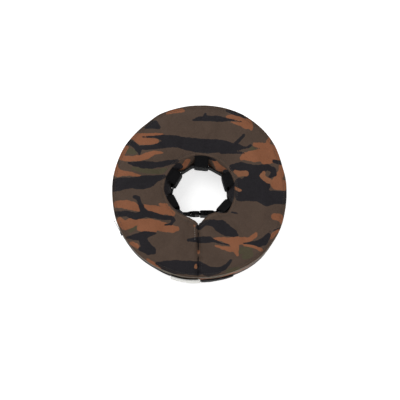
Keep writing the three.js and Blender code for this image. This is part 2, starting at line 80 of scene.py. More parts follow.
# ---------------------------------------------------------------- camouflage, laid stroke by stroke on the front
# Each stroke is a row of discs, x, y and radius in millimetres, with the shape between them filled.
BLACK = [
    [(-97, 116, 3), (-84, 121, 9), (-74, 115, 4)],
    [(-103, 97, 1.4), (-81, 96.5, 2), (-65, 94, 6), (-50, 89, 11), (-30, 86, 11), (-10, 82, 12),
     (5, 80, 12.5), (30, 80, 12.5), (45, 79, 11), (60, 77, 8), (70, 77, 6), (80, 76, 2.6),
     (88, 76.5, 2.4), (93, 80, 2.6)],
    [(66, 84, 4), (74, 92, 3), (82, 101, 2.2)],
    [(40, 72, 6), (60, 68, 3), (82, 65.5, 1.2)],
    [(-136, 86, 4), (-124, 87, 5), (-115, 79, 5), (-108, 70, 4.5), (-107.5, 62, 1.4)],
    [(-112, 76, 4), (-97, 76, 4.5), (-84, 76, 4.5), (-70, 80, 6), (-52, 85, 8)],
    [(-128, 48, 1.6), (-115, 45, 4.5), (-100, 44.5, 7), (-82, 44, 6), (-65, 47, 5), (-50, 51, 4),
     (-40, 52, 4)],
    [(-153, 8, 12), (-138, 10, 11.5), (-120, 11, 10), (-104, 11, 12.5), (-90, 14, 11), (-76, 20, 6),
     (-62, 25, 3)],
    [(-115, -15, 3.5), (-109, -18, 4), (-105, -28, 4), (-101, -38, 5), (-95, -45, 6), (-80, -48, 6),
     (-65, -52, 4.5), (-50, -52, 4), (-46, -57, 4), (-50, -63, 2.4), (-62, -65, 1.3)],
    [(-150, -44, 4.5), (-130, -45, 5.5), (-113, -50, 6.5), (-98, -46, 6.5)],
    [(-130, -87, 1.8), (-112, -87, 6), (-98, -84, 7), (-78, -81, 2)],
    [(-100, -86, 7), (-98, -97, 8), (-90, -108, 9), (-83, -111, 7)],
    [(-90, -112, 7), (-104, -108, 4)],
    [(-76, -133, 2), (-62, -137, 8), (-45, -140, 12), (-25, -141, 12), (-4, -142, 12.5)],
    [(-19, -93, 3), (-8, -92, 4.5), (0, -92, 6), (18, -92, 6), (28, -95, 2.5), (40, -99, 1.6),
     (54, -102.5, 1.2)],
    [(0, -68, 6), (10, -61, 5), (25, -61, 6), (38, -68, 12), (50, -76, 10), (60, -80, 7), (67, -84, 2)],
    [(2, -140, 9), (15, -148, 9), (30, -147, 6), (42, -143, 4), (50, -136, 3.5), (56, -128, 2)],
    [(78, -98.5, 1.2), (95, -98, 3), (107, -98, 7), (116, -94, 7), (123, -83, 4)],
    [(124, -77, 1.2), (134, -74, 1.2), (143, -70, 1.2)],
    [(60, 41, 6), (75, 40, 10), (95, 32, 12), (110, 36, 8), (122, 40, 6), (134, 36, 5), (134, 27, 5),
     (127, 22, 3.2)],
    [(72, 12, 9), (74, -8, 10), (80, 5, 14), (100, 15, 17), (112, 6, 15), (119, 8, 8)],
    [(74, -12, 10), (92, -5, 17), (110, -9, 16), (121, -18, 14), (135, -15, 12), (153, -15, 12)],
    [(-11, 127, 1.8), (0, 130, 4.5), (15, 131, 5.5), (35, 130, 6), (46, 129, 4), (60, 128, 1.8),
     (78, 124.5, 1.2)],
    [(9, 134, 3), (11, 141, 2)],
    [(50, 147, 2), (62, 143, 4), (75, 139, 3), (86, 133, 1.4)],
    [(134, 52, 3.2), (144, 50, 4), (152, 48, 3)],
    [(58, -41, 1.2), (68, -44, 1.8)],
]
RUST = [
    [(-58, 143, 3), (-42, 146.5, 4.5), (-30, 148, 4)],
    [(-120, 98, 5), (-112, 96, 8), (-104, 90, 9), (-90, 88, 7), (-78, 88, 5)],
    [(-112, 101, 4), (-85, 101, 3), (-66, 101, 1.4)],
    [(-132, 78, 4), (-141, 66, 6), (-140, 58, 5), (-125, 56, 5), (-108, 56, 5), (-95, 60, 6),
     (-82, 66, 4), (-66, 67, 1.4)],
    [(-150, 45, 3), (-148, 30, 7), (-135, 29, 4.5), (-122, 27, 4), (-106, 23, 2)],
    [(-148, -27, 6), (-132, -28, 8), (-118, -32, 8), (-108, -37, 5)],
    [(-98, -31, 2.5), (-85, -36, 7), (-70, -39, 8), (-58, -38, 8), (-48, -44, 5)],
    [(-70, -27, 2.5), (-60, -29, 4)],
    [(-142, -57, 6), (-132, -66, 8), (-122, -62, 9), (-110, -60, 5), (-90, -62, 8), (-75, -66, 9),
     (-60, -70, 9), (-48, -73, 7), (-39, -72, 4)],
    [(-106, -72, 5), (-95, -73, 7), (-80, -75, 5)],
    [(-121, -97, 3), (-110, -103, 4)],
    [(-92, -126, 2.5), (-78, -136, 2.5), (-66, -143, 2.5)],
    [(-16, -64.5, 1), (-8, -66, 1.8)],
    [(50, 134, 2.6), (62, 135, 5), (76, 130, 7), (88, 124, 8), (92, 117, 6), (95, 111, 2)],
    [(58, 124, 1.6), (75, 120, 3.2), (86, 116, 5)],
    [(100, 82, 4), (115, 80, 6), (130, 77, 8), (139, 70, 7), (122, 64, 12), (100, 60, 11), (85, 60, 8),
     (77, 57, 4)],
    [(118, 52, 7), (133, 56, 8), (144, 60, 6)],
    [(125, 88, 4), (127, 96, 2.4)],
    [(147, 44, 4), (149, 34, 6), (143, 22, 8), (140, 10, 12), (150, 8, 10)],
    [(134, -50, 6), (144, -50, 6), (147, -60, 3)],
    [(141, -74, 3), (132, -82, 4), (127, -88, 2.5)],
    [(25, -91, 1.8), (40, -92, 4), (58, -95, 7), (72, -94, 7), (88, -92, 4), (98, -85, 4),
     (101, -80, 2)],
    [(62, -100, 9), (64, -110, 6), (67, -119, 2.4)],
    [(28, -103, 1.4), (42, -107, 3), (56, -110, 5)],
    [(78, -101, 1.8), (95, -104, 2), (110, -109, 3.4)],
    [(-2, -110, 1.8), (-1, -117, 1.4)],
]
RUST_OVER = [
    [(64, 34, 2.4), (72, 29, 5), (84, 29, 5)],
    [(64, 3, 3), (74, -2, 2.4)],
    [(126, 14, 5), (118, 17, 4.6), (113, 24, 4.4), (116, 29, 3.4)],
    [(-6, -141, 2.6), (-6, -137, 2.4)],
]
OLIVE = [
    [(-127, 71, 6), (-117, 68, 4.5)],
    [(-118, 37, 4), (-95, 33, 5), (-70, 33, 5), (-60, 38, 3)],
    [(94, 75, 4.6), (106, 70, 1.6)],
    [(-122, -75, 3.6), (-110, -68, 4), (-98, -61, 2.6)],
    [(74, -112, 6), (88, -108, 5), (91, -118, 5), (80, -122, 5)],
    [(52, -148, 5), (68, -144, 5)],
    [(74, 25.5, 2.6), (84, 26, 2.4)],
]


# The neck wall's cloth: x is degrees about the axis and y is height. Its wide black shapes, covering most of
# the wall, are partly print and partly painted shade.
NECK_BLACK_AND_SHADE = [
    [(-85, 58, 20), (-40, 56, 20), (0, 54, 22), (24, 58, 18)],
    [(-85, 24, 16), (-30, 22, 18), (20, 24, 16), (60, 16, 10), (100, 18, 12)],
    [(64, 71, 4), (80, 66, 6), (96, 71, 3)],
    [(134, 62, 11), (160, 56, 20), (200, 56, 22), (262, 54, 20)],
    [(128, 24, 14), (180, 22, 18), (262, 24, 16)],
]
NECK_RUST = [
    [(38, 66, 4), (50, 60, 8), (62, 66, 5)],
    [(44, 44, 5), (58, 42, 6), (70, 46, 3)],
    [(112, 64, 6), (122, 58, 6), (126, 50, 3)],
    [(-62, 66, 4), (-54, 60, 3)],
]


LEFT_OUT = 0.12  # share of the blotches' places that stay empty
BLOTCH_LENGTH, BLOTCH_RADIUS, BLOTCH_SLOPE = (22, 44), (5.0, 9.0), (-0.14, 0.14)
BRANCH_REACH, BRANCH_LEAN = (9, 15), (8, 18)


def scattered_strokes(seed, width, height, cell):
    """Woodland blotches spread at random over width by height: long ones with a few pointed branches."""
    rng = np.random.default_rng(seed)
    strokes = []
    for x in np.arange(-cell / 2, width + cell / 2, cell):
        for y in np.arange(rng.uniform(-6, 8), height + 6, cell * 0.5):
            if rng.random() < LEFT_OUT:
                continue
            cx, cy = x + rng.uniform(0, 0.7) * cell, y + rng.uniform(-0.12, 0.12) * cell
            length, radius = rng.uniform(*BLOTCH_LENGTH), rng.uniform(*BLOTCH_RADIUS)
            slope = rng.uniform(*BLOTCH_SLOPE)
            spine = []
            for t in (-1, -0.6, -0.2, 0.2, 0.6, 1):
                size = radius * (1.1 - 0.85 * abs(t) ** 1.6) * rng.uniform(0.75, 1.15)
                spine.append((cx + t * length, cy + slope * t * length + rng.uniform(-4, 4), size))
            strokes.append(spine)
            for _ in range(rng.integers(0, 3)):
                bx, by, br = spine[rng.integers(1, 5)]
                way, reach = rng.choice([-1, 1]), rng.uniform(*BRANCH_REACH)
                lean = rng.choice([-1, 1]) * rng.uniform(*BRANCH_LEAN)
                elbow = (bx + lean * 0.4, by + way * reach * 0.8, 3.2)
                strokes.append([(bx, by, br * 0.6), elbow, (bx + lean, by + way * reach, 1.4)])
    return strokes


FAR = 60.0  # millimetres, further than any stroke's edge counts


def stroke_distance(flat, strokes):
    """How far each point of the cloth is outside the nearest stroke, in millimetres, negative inside."""
    best = np.full(len(flat), FAR)
    for stroke in strokes:
        for (ax, ay, ar), (bx, by, br) in zip(stroke, stroke[1:]):
            a, d = np.array((ax, ay)), np.array((bx - ax, by - ay))
            t = np.clip(((flat - a) @ d) / max(d @ d, 1e-6), 0, 1)
            gap = np.linalg.norm(flat - a - t[:, None] * d, axis=1) - (ar + (br - ar) * t)
            best = np.minimum(best, gap)
    return best


# ---------------------------------------------------------------- meshes
def make_piece(name, points, faces, material, fields=None, normals=None):
    """A mesh object from points in millimetres. Fields are numbers or vectors stored at its points."""
    mesh = bpy.data.meshes.new(name)
    mesh.from_pydata((np.asarray(points, float) * MM).tolist(), [], [list(map(int, f)) for f in faces])
    for field, values in (fields or {}).items():
        values = np.asarray(values, np.float32)
        vector = values.ndim == 2
        attribute = mesh.attributes.new(field, "FLOAT_VECTOR" if vector else "FLOAT", "POINT")
        attribute.data.foreach_set("vector" if vector else "value", values.ravel())
    mesh.polygons.foreach_set("use_smooth", [True] * len(mesh.polygons))
    if normals is not None:
        mesh.normals_split_custom_set_from_vertices(np.asarray(normals, float).tolist())
    mesh.materials.append(material)
    mesh.update()
    piece = bpy.data.objects.new(name, mesh)
    bpy.context.scene.collection.objects.link(piece)
    return piece


def grid_faces(rows, columns):
    """Quads of a grid whose point (i, j) is number i * columns + j."""
    corners = [i * columns + j for i in range(rows - 1) for j in range(columns - 1)]
    return [(a, a + 1, a + columns + 1, a + columns) for a in corners]


def sleeve_faces(rings, n, start=0):
    """Quads between closed rings of n points each. The first point is number start."""
    faces = []
    for first in range(start, start + (rings - 1) * n, n):
        for k in range(n):
            a, b = first + k, first + (k + 1) % n
            faces.append((a, b, b + n, a + n))
    return faces


def picked(faces):
    """The points that some faces use, and those faces renumbered to match."""
    index = np.unique([v for f in faces for v in f])
    renumber = {int(v): k for k, v in enumerate(index)}
    return index, [tuple(renumber[v] for v in f) for f in faces]


def distance_along(line):
    """How far along a line each of its points lies."""
    return np.concatenate([[0], np.cumsum(np.linalg.norm(np.diff(line, axis=0), axis=1))])


def unit(v):
    """Vectors scaled to a length of 1."""
    v = np.asarray(v, float)
    return v / np.maximum(np.linalg.norm(v, axis=-1, keepdims=True), 1e-9)


def ring_angle(x, y):
    """Angle in degrees that runs from -90 at the slit's right side, over the crown, to 270 at its left."""
    a = np.degrees(np.arctan2(y, x))
    return np.where((x < SLIT_SIDE_X) & (a < 0), a + 360, a)


# ---------------------------------------------------------------- materials
class Look:
    """A material with a Principled shader, and short ways to add nodes to it."""

    def __init__(self, name, roughness=0.8, metallic=0.0, sheen=0.0, coat=0.0, gloss=0.5):
        self.material = bpy.data.materials.new(name)
        self.material.use_nodes = True
        self.tree = self.material.node_tree
        self.shader = self.tree.nodes["Principled BSDF"]
        self.shader.inputs["Roughness"].default_value = roughness
        self.shader.inputs["Metallic"].default_value = metallic
        self.shader.inputs["Sheen Weight"].default_value = sheen
        self.shader.inputs["Sheen Roughness"].default_value = 0.45
        self.shader.inputs["Coat Weight"].default_value = coat
        self.shader.inputs["Specular IOR Level"].default_value = gloss

    def node(self, kind, inputs=None, **settings):
        node = self.tree.nodes.new("ShaderNode" + kind)
        for key, value in settings.items():
            setattr(node, key, value)
        for key, value in (inputs or {}).items():
            if isinstance(value, bpy.types.NodeSocket):
                self.tree.links.new(value, node.inputs[key])
            else:
                node.inputs[key].default_value = value
        return node

    def maths(self, operation, a, b=0.0):
        return self.node("Math", {0: a, 1: b}, operation=operation).outputs[0]

    def field(self, name):
        return self.node("Attribute", attribute_name=name)

    def noise(self, vector, scale, detail=2.0, rough=0.5):
        inputs = {"Vector": vector, "Scale": scale, "Detail": detail, "Roughness": rough}
        return self.node("TexNoise", inputs).outputs["Fac"]

    def ramp(self, value, low, high, to_low=0.0, to_high=1.0):
        inputs = {"Value": value, "From Min": low, "From Max": high, "To Min": to_low, "To Max": to_high}
        return self.node("MapRange", inputs, interpolation_type="SMOOTHSTEP").outputs[0]

    def mix(self, factor, a, b):
        node = self.node("Mix", data_type="RGBA")
        for socket, value in (("Factor", factor), ("A", a), ("B", b)):
            target = next(s for s in node.inputs if s.name == socket and s.enabled)
            if isinstance(value, bpy.types.NodeSocket):
                self.tree.links.new(value, target)
            elif socket == "Factor":
                target.default_value = value
            else:
                target.default_value = (*value, 1)
        return next(s for s in node.outputs if s.enabled)

    def set(self, socket, value):
        self.tree.links.new(value, self.shader.inputs[socket])

    def bump(self, height, distance, strength=1.0, under=None):
        inputs = {"Height": height, "Distance": distance, "Strength": strength}
        if under is not None:
            inputs["Normal"] = under
        return self.node("Bump", inputs).outputs[0]


def linear(red, green, blue):
    """A colour given as screen values from 0 to 255."""
    shares = [c / 255 for c in (red, green, blue)]
    return tuple(((c + 0.055) / 1.055) ** 2.4 if c > 0.04 else c / 12.92 for c in shares)


def paler(colour, times, more=0.0):
    """A colour made brighter."""
    return tuple(c * times + more for c in colour)


def woven(look, cloth, pitch):
    """Height of a plain weave whose threads are pitch apart, from 0 in the gaps to 1 on the crests."""
    split = look.node("SeparateXYZ", {0: cloth})
    along = look.maths("SINE", look.maths("MULTIPLY", split.outputs[0], math.pi / pitch))
    over = look.maths("SINE", look.maths("MULTIPLY", split.outputs[1], math.pi / pitch))
    crossing = look.maths("MULTIPLY", along, over)
    return look.maths("ADD", look.maths("MULTIPLY", crossing, 0.5), 0.5)


def camouflage_look():
    """Printed polyester cloth: strokes over a brown ground, in a plain weave with painted shade in its gaps,
    rubbed pale at the seams.
    """
    look = Look("camouflage_cloth", sheen=0.03, gloss=0.26)
    cloth = look.field("cloth").outputs["Vector"]
    wobble = look.maths("MULTIPLY", look.maths("SUBTRACT", look.noise(cloth, 0.11, 4.0, 0.6), 0.5), 5.0)
    fade = look.noise(cloth, 0.025, 3.0)
    blotchy = look.noise(cloth, 0.5, 3.0)
    colour = look.mix(fade, linear(65, 50, 40), linear(88, 70, 58))
    layers = (
        ("camo_olive", linear(66, 60, 41), linear(80, 72, 52)),
        ("camo_rust", linear(122, 74, 46), linear(148, 94, 64)),
        ("camo_black", linear(15, 12, 17), linear(25, 21, 27)),
        ("camo_over", linear(118, 74, 48), linear(146, 98, 68)),
    )
    for name, dark, pale in layers:
        edge = look.maths("ADD", look.field(name).outputs["Fac"], wobble)
        shape = look.ramp(edge, -0.35, 0.35, 1.0, 0.0)
        colour = look.mix(shape, colour, look.mix(fade, dark, pale))
    weave = woven(look, cloth, 0.62)
    # Painted shade: the weave's gaps are darkened toward black.
    colour = look.mix(look.ramp(weave, 0.0, 0.6, 0.28, 0.0), colour, (0.012, 0.011, 0.011))
    near_seam = look.ramp(look.field("seam").outputs["Fac"], 0.5, 4.0, 1.0, 0.0)
    rubbed = look.maths("MULTIPLY", near_seam, blotchy)
    colour = look.mix(look.maths("MULTIPLY", rubbed, 0.18), colour, linear(140, 120, 100))
    look.set("Base Color", colour)
    look.set("Roughness", look.ramp(blotchy, 0.2, 0.8, 0.62, 0.8))
    sagging = look.bump(look.noise(cloth, 0.035, 2.0), 0.012, 0.5)
    crumple = look.bump(look.noise(cloth, 0.13, 5.0, 0.55), 0.003, 0.7, sagging)
    look.set("Normal", look.bump(weave, 0.00016, 0.7, crumple))
    return look.material


def tape_look(name, dark, pale, pitch=0.9, roughness=0.75, wear=1.0):
    """Woven tape: ribs across its width and a fine weave along it, painted dark in its gaps and pale on its
    crests as shade and highlight, with lint and rubbed edges.
    """
    look = Look(name, gloss=0.16)
    cloth = look.field("cloth").outputs["Vector"]
    weave = woven(look, cloth, pitch)
    split = look.node("SeparateXYZ", {0: cloth})
    rib_turn = look.maths("MULTIPLY", split.outputs[1], math.pi / (2 * pitch))
    ribs = look.maths("ABSOLUTE", look.maths("SINE", rib_turn))
    height = look.maths("ADD", look.maths("MULTIPLY", weave, 0.6), look.maths("MULTIPLY", ribs, 0.4))
    lint = look.noise(cloth, 0.35, 5.0, 0.65)
    # Painted shade and highlight: the colour runs from dark in the weave's gaps to pale on its crests.
    colour = look.mix(look.ramp(height, 0.1, 0.9), dark, pale)
    near_edge = look.ramp(look.field("seam").outputs["Fac"], 0.2, 1.6, 1.0, 0.0)
    rubbed = look.maths("MULTIPLY", near_edge, lint)
    colour = look.mix(look.maths("MULTIPLY", rubbed, 0.5 * wear), colour, paler(pale, 2.4, 0.01))
    linted = look.ramp(lint, 0.45, 0.8, 0.0, 0.35 * wear)
    look.set("Base Color", look.mix(linted, colour, paler(pale, 1.8)))
    look.set("Roughness", look.ramp(lint, 0.3, 0.7, roughness - 0.1, roughness + 0.12))
    look.set("Normal", look.bump(height, 0.0003, 0.8))
    return look.material


GRAIN = 1400.0  # of moulded stuff, in waves to the metre


def moulded_look(name, dark, pale, roughness=0.32, metallic=0.0, coat=0.0):
    """Moulded or cast stuff: a fine grain, fingermarks in the gloss, and small scratches."""
    look = Look(name, metallic=metallic, coat=coat, gloss=0.5 if metallic else 0.07)
    place = look.node("TexCoord").outputs["Object"]
    grained = look.noise(place, GRAIN, 3.0)
    smear = look.noise(place, 70.0, 3.0)
    stretched = look.node("Mapping", {"Vector": place, "Scale": (60, 900, 300)}).outputs[0]
    scratch = look.ramp(look.noise(stretched, 3.0, 4.0), 0.62, 0.74, 0.0, 0.35)
    colour = look.mix(look.ramp(smear, 0.3, 0.7), dark, pale)
    look.set("Base Color", look.mix(scratch, colour, paler(pale, 1.7, 0.008)))
    look.set("Roughness", look.ramp(smear, 0.25, 0.75, roughness - 0.07, roughness + 0.12))
    look.set("Normal", look.bump(grained, 0.00006, 0.5))
    return look.material


def fuzzy_look():
    """Hook and loop tape: rows of tiny hooks in a dark pile, painted darker between them and paler on their
    crests as shade and highlight.
    """
    look = Look("hook_and_loop", sheen=0.08)
    cloth = look.field("cloth").outputs["Vector"]
    rows = woven(look, cloth, 1.1)
    pile = look.noise(cloth, 2.2, 4.0, 0.7)
    height = look.maths("ADD", look.maths("MULTIPLY", rows, 0.6), look.maths("MULTIPLY", pile, 0.7))
    # Painted shade and highlight: dark between the rows and pile, pale on their crests.
    look.set("Base Color", look.mix(look.ramp(height, 0.3, 1.1), linear(8, 8, 9), linear(36, 35, 38)))
    look.set("Roughness", look.ramp(pile, 0.3, 0.7, 0.82, 0.98))
    look.set("Normal", look.bump(height, 0.0008, 0.9))
    return look.material


def thread_look(name, dark, pale):
    """Sewing thread, with a fine twist, painted darker where its bump is low and paler where it is high."""
    look = Look(name, roughness=0.6, sheen=0.2)
    place = look.node("TexCoord").outputs["Object"]
    twist = look.noise(place, 2400.0, 2.0)
    # Painted shade and highlight: dark where the twist's bump is low, pale where it is high.
    look.set("Base Color", look.mix(look.ramp(twist, 0.3, 0.7), dark, pale))
    look.set("Roughness", look.ramp(twist, 0.3, 0.7, 0.55, 0.75))
    look.set("Normal", look.bump(twist, 0.0001, 0.8))
    return look.material


CAMOUFLAGE = camouflage_look()
# The edge tape's pale colour is partly a pale edge and partly painted highlight on the front-outer seam's
# turned edge.
EDGE_TAPE_AND_HIGHLIGHT = tape_look("edge_tape_and_highlight", linear(96, 88, 78), linear(150, 141, 128), 0.7)
WEBBING = tape_look("black_webbing", linear(4, 4, 5), linear(12, 12, 14), 0.95)
ZIP_TAPE = tape_look("zip_tape", linear(6, 6, 8), linear(16, 15, 18), 0.6)
LABEL = tape_look("label_cloth", linear(206, 205, 200), linear(232, 231, 227), 0.35, 0.68, 0.04)
HOOKS = fuzzy_look()
PLASTIC = moulded_look("black_plastic", linear(4, 4, 5), linear(10, 10, 12), 0.5)
METAL = moulded_look("gunmetal", linear(44, 44, 47), linear(74, 73, 77), 0.3, 0.9)
VINYL = moulded_look("vinyl", linear(150, 160, 166), linear(186, 194, 198), 0.35, coat=0.2)
THREAD = thread_look("dark_thread", linear(30, 27, 25), linear(66, 59, 52))
PALE_THREAD = thread_look("pale_thread", linear(150, 148, 142), linear(205, 202, 196))


# ---------------------------------------------------------------- the stuffed ring
def section():
    """The ring's section: radius and height of its points, going round, and the strip each step is in."""
    across = int(round((OUTER_R - NECK_R) / ROW))
    down = int(round((FRONT_Z - BACK_Z) / ROW))
    points, strips = [], []
    counts = ((SECTION_FRONT, across), (SECTION_OUTER, down), (SECTION_BACK, across), (SECTION_NECK, down))
    for strip, count in counts:
        for i in range(count):
            t = 2 * i / count - 1
            full = 1 - abs(t) ** CROWN_CURVE
            if strip == SECTION_FRONT:
                points.append((MID_R + t * (OUTER_R - NECK_R) / 2, FRONT_Z + CROWN_RISE * full))
            elif strip == SECTION_OUTER:
                points.append((OUTER_R + OUTER_BULGE * (1 - t * t), MID_Z - t * (FRONT_Z - BACK_Z) / 2))
            elif strip == SECTION_BACK:
                flat = min(1.0, (1 - abs(t) ** 6) * 1.25)
                points.append((MID_R - t * (OUTER_R - NECK_R) / 2, BACK_Z * (1 - flat) + FLOOR_GAP))
            else:
                points.append((NECK_R - NECK_BULGE * (1 - t * t), MID_Z + t * (FRONT_Z - BACK_Z) / 2))
            strips.append(strip)
    return points, strips


def columns():
    """Where the cloth's columns stand: (zone, share of the zone), from the slit's right side to its left."""
    side = int(round(math.radians(SIDE_SPAN) * SIDE_R / COLUMN))
    places = [(RIGHT, i / side) for i in range(side)]
    places += [(TOP, i / TOP_COLUMNS) for i in range(TOP_COLUMNS)]
    places += [(LEFT, i / side) for i in range(side + 1)]
    return places


def column_angle(zone, share, radius):
    """Angle, in radians, of a column at a radius, so that zones end in planes of constant x."""
    right_end, right_top = -math.acos(RIGHT_END_X / radius), math.acos(BEND / radius)
    left_top, left_end = math.pi - right_top, 2 * math.pi - math.acos(LEFT_END_X / radius)
    low, high = ((right_end, right_top), (right_top, left_top), (left_top, left_end))[zone]
    return low + (high - low) * share


def seam_line(radius, z, zone):
    """Points along a seam in one zone, at the cloth's columns and halfway between them."""
    shares = sorted({s for zn, s in columns() if zn == zone} | {1.0})
    fine = sorted({*shares, *((a + b) / 2 for a, b in zip(shares, shares[1:]))})
    angles = [column_angle(zone, s, radius) for s in fine]
    return np.array([(radius * math.cos(a), radius * math.sin(a), z) for a in angles])


# How far the front edge of the neck is pushed in, in millimetres, by angle. The strap is tight beside
# the slit, so both ends of the ring are drawn up under it, the right one in a fold.
PUSHED = (
    (-90, 1), (-88, 2.5), (-84, 7), (-79, 11), (-70, 15), (-55, 13.4), (-47, 5), (-40, -1.5), (-23, 0),
    (0, 0), (180, 0), (190, 2.6), (213, 6.5), (236, 9.4), (251, 10.3), (262, 7), (268, 2), (270, 1),
)
PUSH_FADE = 15  # how far from the neck the push fades out
PUSH_Z, PUSH_RISE = 44, 27  # the height where it begins, and how much higher it is at its fullest


VALVE_AT = 135  # degrees
VALVE_ANGLE = math.radians(VALVE_AT)
PORT_R = 8.5  # the hole that the valve's stem comes through, under its eyelet


def from_port(point):
    """Distance of a point from the line through the valve's port."""
    way = np.array((math.cos(VALVE_ANGLE), math.sin(VALVE_ANGLE), 0))
    off = point - (0, 0, MID_Z)
    return np.linalg.norm(off - way * (off @ way)) if off @ way > 0 else 999.0


# How far the outline stands out from a true circle, in millimetres, by angle. It stays near the circle
# where the valve, the zip and the label sit.
OUTLINE = (
    (-90, 2), (-75, 2.4), (-60, 4.4), (-45, 5.6), (-30, 5.4), (-15, 1.6), (0, 0), (15, 0), (30, 3.4),
    (45, 5), (60, 4.8), (75, 4), (90, 1), (105, 1.6), (118, 2.4), (128, 0.3), (142, 0.3), (155, 0.6),
    (180, 0.5), (200, 0.4), (250, 0.4), (262, 1.6), (270, 2),
)
RIPPLES = ((0.35, 7, 2.0), (0.3, 13, 0.0))  # of the outline: height, number round the ring, and phase
VALVE_CALM = 9  # degrees beside the valve within which the ripples die down
HIP_AT, HIP_WIDTH, HIP_OUT, HIP_Z = 226, 24, 2.6, 25  # the wall over the zip stands out, above this height
# Where the neck wall swells out between its loops, until it meets the strap: angle, depth and width.
SWELLS = ((176, 6.6, 9.5), (-4, 5.6, 8.5), (117, 6.6, 11), (53, 6.0, 12), (229, 8.0, 10), (-49, 7.5, 8))
SWELL_Z = 31  # how far above and below the middle the swells reach
# Folds of the front face by the neck: angle, its width, distance from the neck, its width, and height.
FOLDS = ((-62, 17, 5, 12, 5.0), (246, 12, 4, 9, 2.5))
ROLL = (0.5, 5, 1.0)  # slow rise and fall of the front face: height, number round the ring, and phase
SLIT_DIP, SLIT_ROUND = 3.6, 2.2  # how deep the slit's front edges sink, and over what distance
SLIT_SHUT, SLIT_LEAN = 1.55, 5  # how far each end leans over to shut the slit, and over what distance
SHUT_Z, SHUT_BACK_Z, SHUT_R = 45, 26, 146  # they lean above the first, below the second and beyond the last


def bell(distance, width):
    """1 in the middle, falling off smoothly over a width."""
    return np.exp(-((distance / width) ** 2))


def settle(points):
    """Small smooth shifts of the whole ring: an outline that isn't quite round, a neck that is pushed in
    beside the slit, and edges that sink into the slit."""
    p = np.array(points, float)
    x, y, z = p.T
    radius = np.hypot(x, y)
    angle = np.arctan2(y, x)
    out = (radius - NECK_R) / (OUTER_R - NECK_R)
    across = ring_angle(x, y)
    # The outline stands out from a circle, from nothing at the neck to all of it at the outer wall.
    wave = sum(height * np.sin(count * angle + phase) for height, count, phase in RIPPLES)
    wave = wave * (1 - bell(across - VALVE_AT, VALVE_CALM)) + np.interp(across, *zip(*OUTLINE))
    wave = wave + HIP_OUT * bell(across - HIP_AT, HIP_WIDTH) * np.clip((z - HIP_Z) / 10, 0, 1)
    shift = wave * np.clip(out, 0, 1)

    # The front edge of the neck is pushed in, and the neck wall swells between its loops.
    near_neck = np.exp(-np.clip(radius - NECK_R, 0, None) / PUSH_FADE)
    front = np.clip((z - PUSH_Z) / PUSH_RISE, 0, 1) ** 1.5
    shift = shift - np.interp(across, *zip(*PUSHED)) * near_neck * front
    swell = sum(depth * bell(across - at, width) for at, depth, width in SWELLS)
    middle = np.clip(1 - ((z - MID_Z) / SWELL_Z) ** 4, 0, 1)
    shift = shift - swell * middle * (radius < NECK_R + 1)
    scale = (radius + shift) / np.maximum(radius, 1e-6)

    # The front face lifts and sinks a little, most of all in its folds.
    fold = 0
    for at, width, out_at, out_width, height in FOLDS:
        lump = height * bell(across - at, width) * bell(radius - NECK_R - out_at, out_width)
        fold = fold + lump * (z > MID_Z)
    roll_height, rolls, phase = ROLL
    lift = roll_height * np.sin(rolls * angle + phase) * np.clip((z - MID_Z) / 30, 0, 1) + fold

    # Beside the slit the front edges sink, and the ends lean together near the ring's faces.
    below = y < 0
    from_slit = np.where(x < SLIT_X, LEFT_END_X - x, x - RIGHT_END_X)
    rounding = np.exp(-np.clip(from_slit, 0, None) / SLIT_ROUND) * below * (radius > NECK_R - 12)
    dip = SLIT_DIP * rounding * np.clip((z - MID_Z) / (FRONT_Z - MID_Z), 0, 1.1)
    toward_face = np.maximum(np.clip((z - SHUT_Z) / 18, 0, 1), np.clip((SHUT_BACK_Z - z) / 12, 0, 0.9))
    toward_face = np.maximum(toward_face, np.clip((radius - SHUT_R) / 6, 0, 1))
    shut = SLIT_SHUT * np.exp(-np.clip(from_slit, 0, None) / SLIT_LEAN) * below * toward_face
    shut = shut * np.where(x < SLIT_X, 1, -1) * np.clip((radius - NECK_R + 1) / 3, 0, 1)
    return np.stack([x * scale + shut, y * scale, z - dip + lift], -1)


END_RINGS = (0.93, 0.8, 0.55, 0.3)  # the rings of cloth in an end panel, as shares of its outline


def cover_cage():
    """The whole cover as one coarse closed mesh: points, faces, and each face's strip and zone."""
    profile, strips = section()
    places = columns()
    n = len(profile)
    points = []
    for zone, share in places:
        for r, z in profile:
            a = column_angle(zone, share, r)
            points.append((r * math.cos(a), r * math.sin(a), z))
    faces = sleeve_faces(len(places), n)
    strip_of = strips * (len(places) - 1)
    zone_of = [zone for zone, _ in places[:-1] for _ in profile]

    centre = np.array((MID_R, MID_Z))
    for column, zone, end_x in ((0, RIGHT, RIGHT_END_X), (len(places) - 1, LEFT, LEFT_END_X)):
        ring = list(range(column * n, column * n + n))
        made = []
        for share in END_RINGS:
            inner = list(range(len(points), len(points) + n))
            for point in profile:
                r, z = centre + (np.array(point) - centre) * share
                points.append((end_x, -math.sqrt(r * r - end_x * end_x), z))
            made += [(ring[k], inner[k], inner[(k + 1) % n], ring[(k + 1) % n]) for k in range(n)]
            ring = inner
        hub = len(points)
        points.append((end_x, -MID_R, MID_Z))
        made += [(ring[k], hub, ring[(k + 1) % n]) for k in range(n)]
        faces += made if zone == RIGHT else [face[::-1] for face in made]
        strip_of += [SECTION_END] * len(made)
        zone_of += [zone] * len(made)
    return np.array(points), faces, np.array(strip_of), np.array(zone_of)


PRESSURE, SLACK, BLOW_FRAMES = 3.0, 0.02, 18
# The most that a point of each strip may move as the cover is blown up, in millimetres.
MOST_MOVE = {SECTION_FRONT: 5.0, SECTION_OUTER: 0.4, SECTION_BACK: 0.8, SECTION_NECK: 2.2, SECTION_END: 0.0}


def places_of(mesh):
    """Where a mesh's points are, in metres."""
    flat = np.empty(len(mesh.vertices) * 3)
    mesh.vertices.foreach_get("co", flat)
    return flat.reshape(-1, 3)


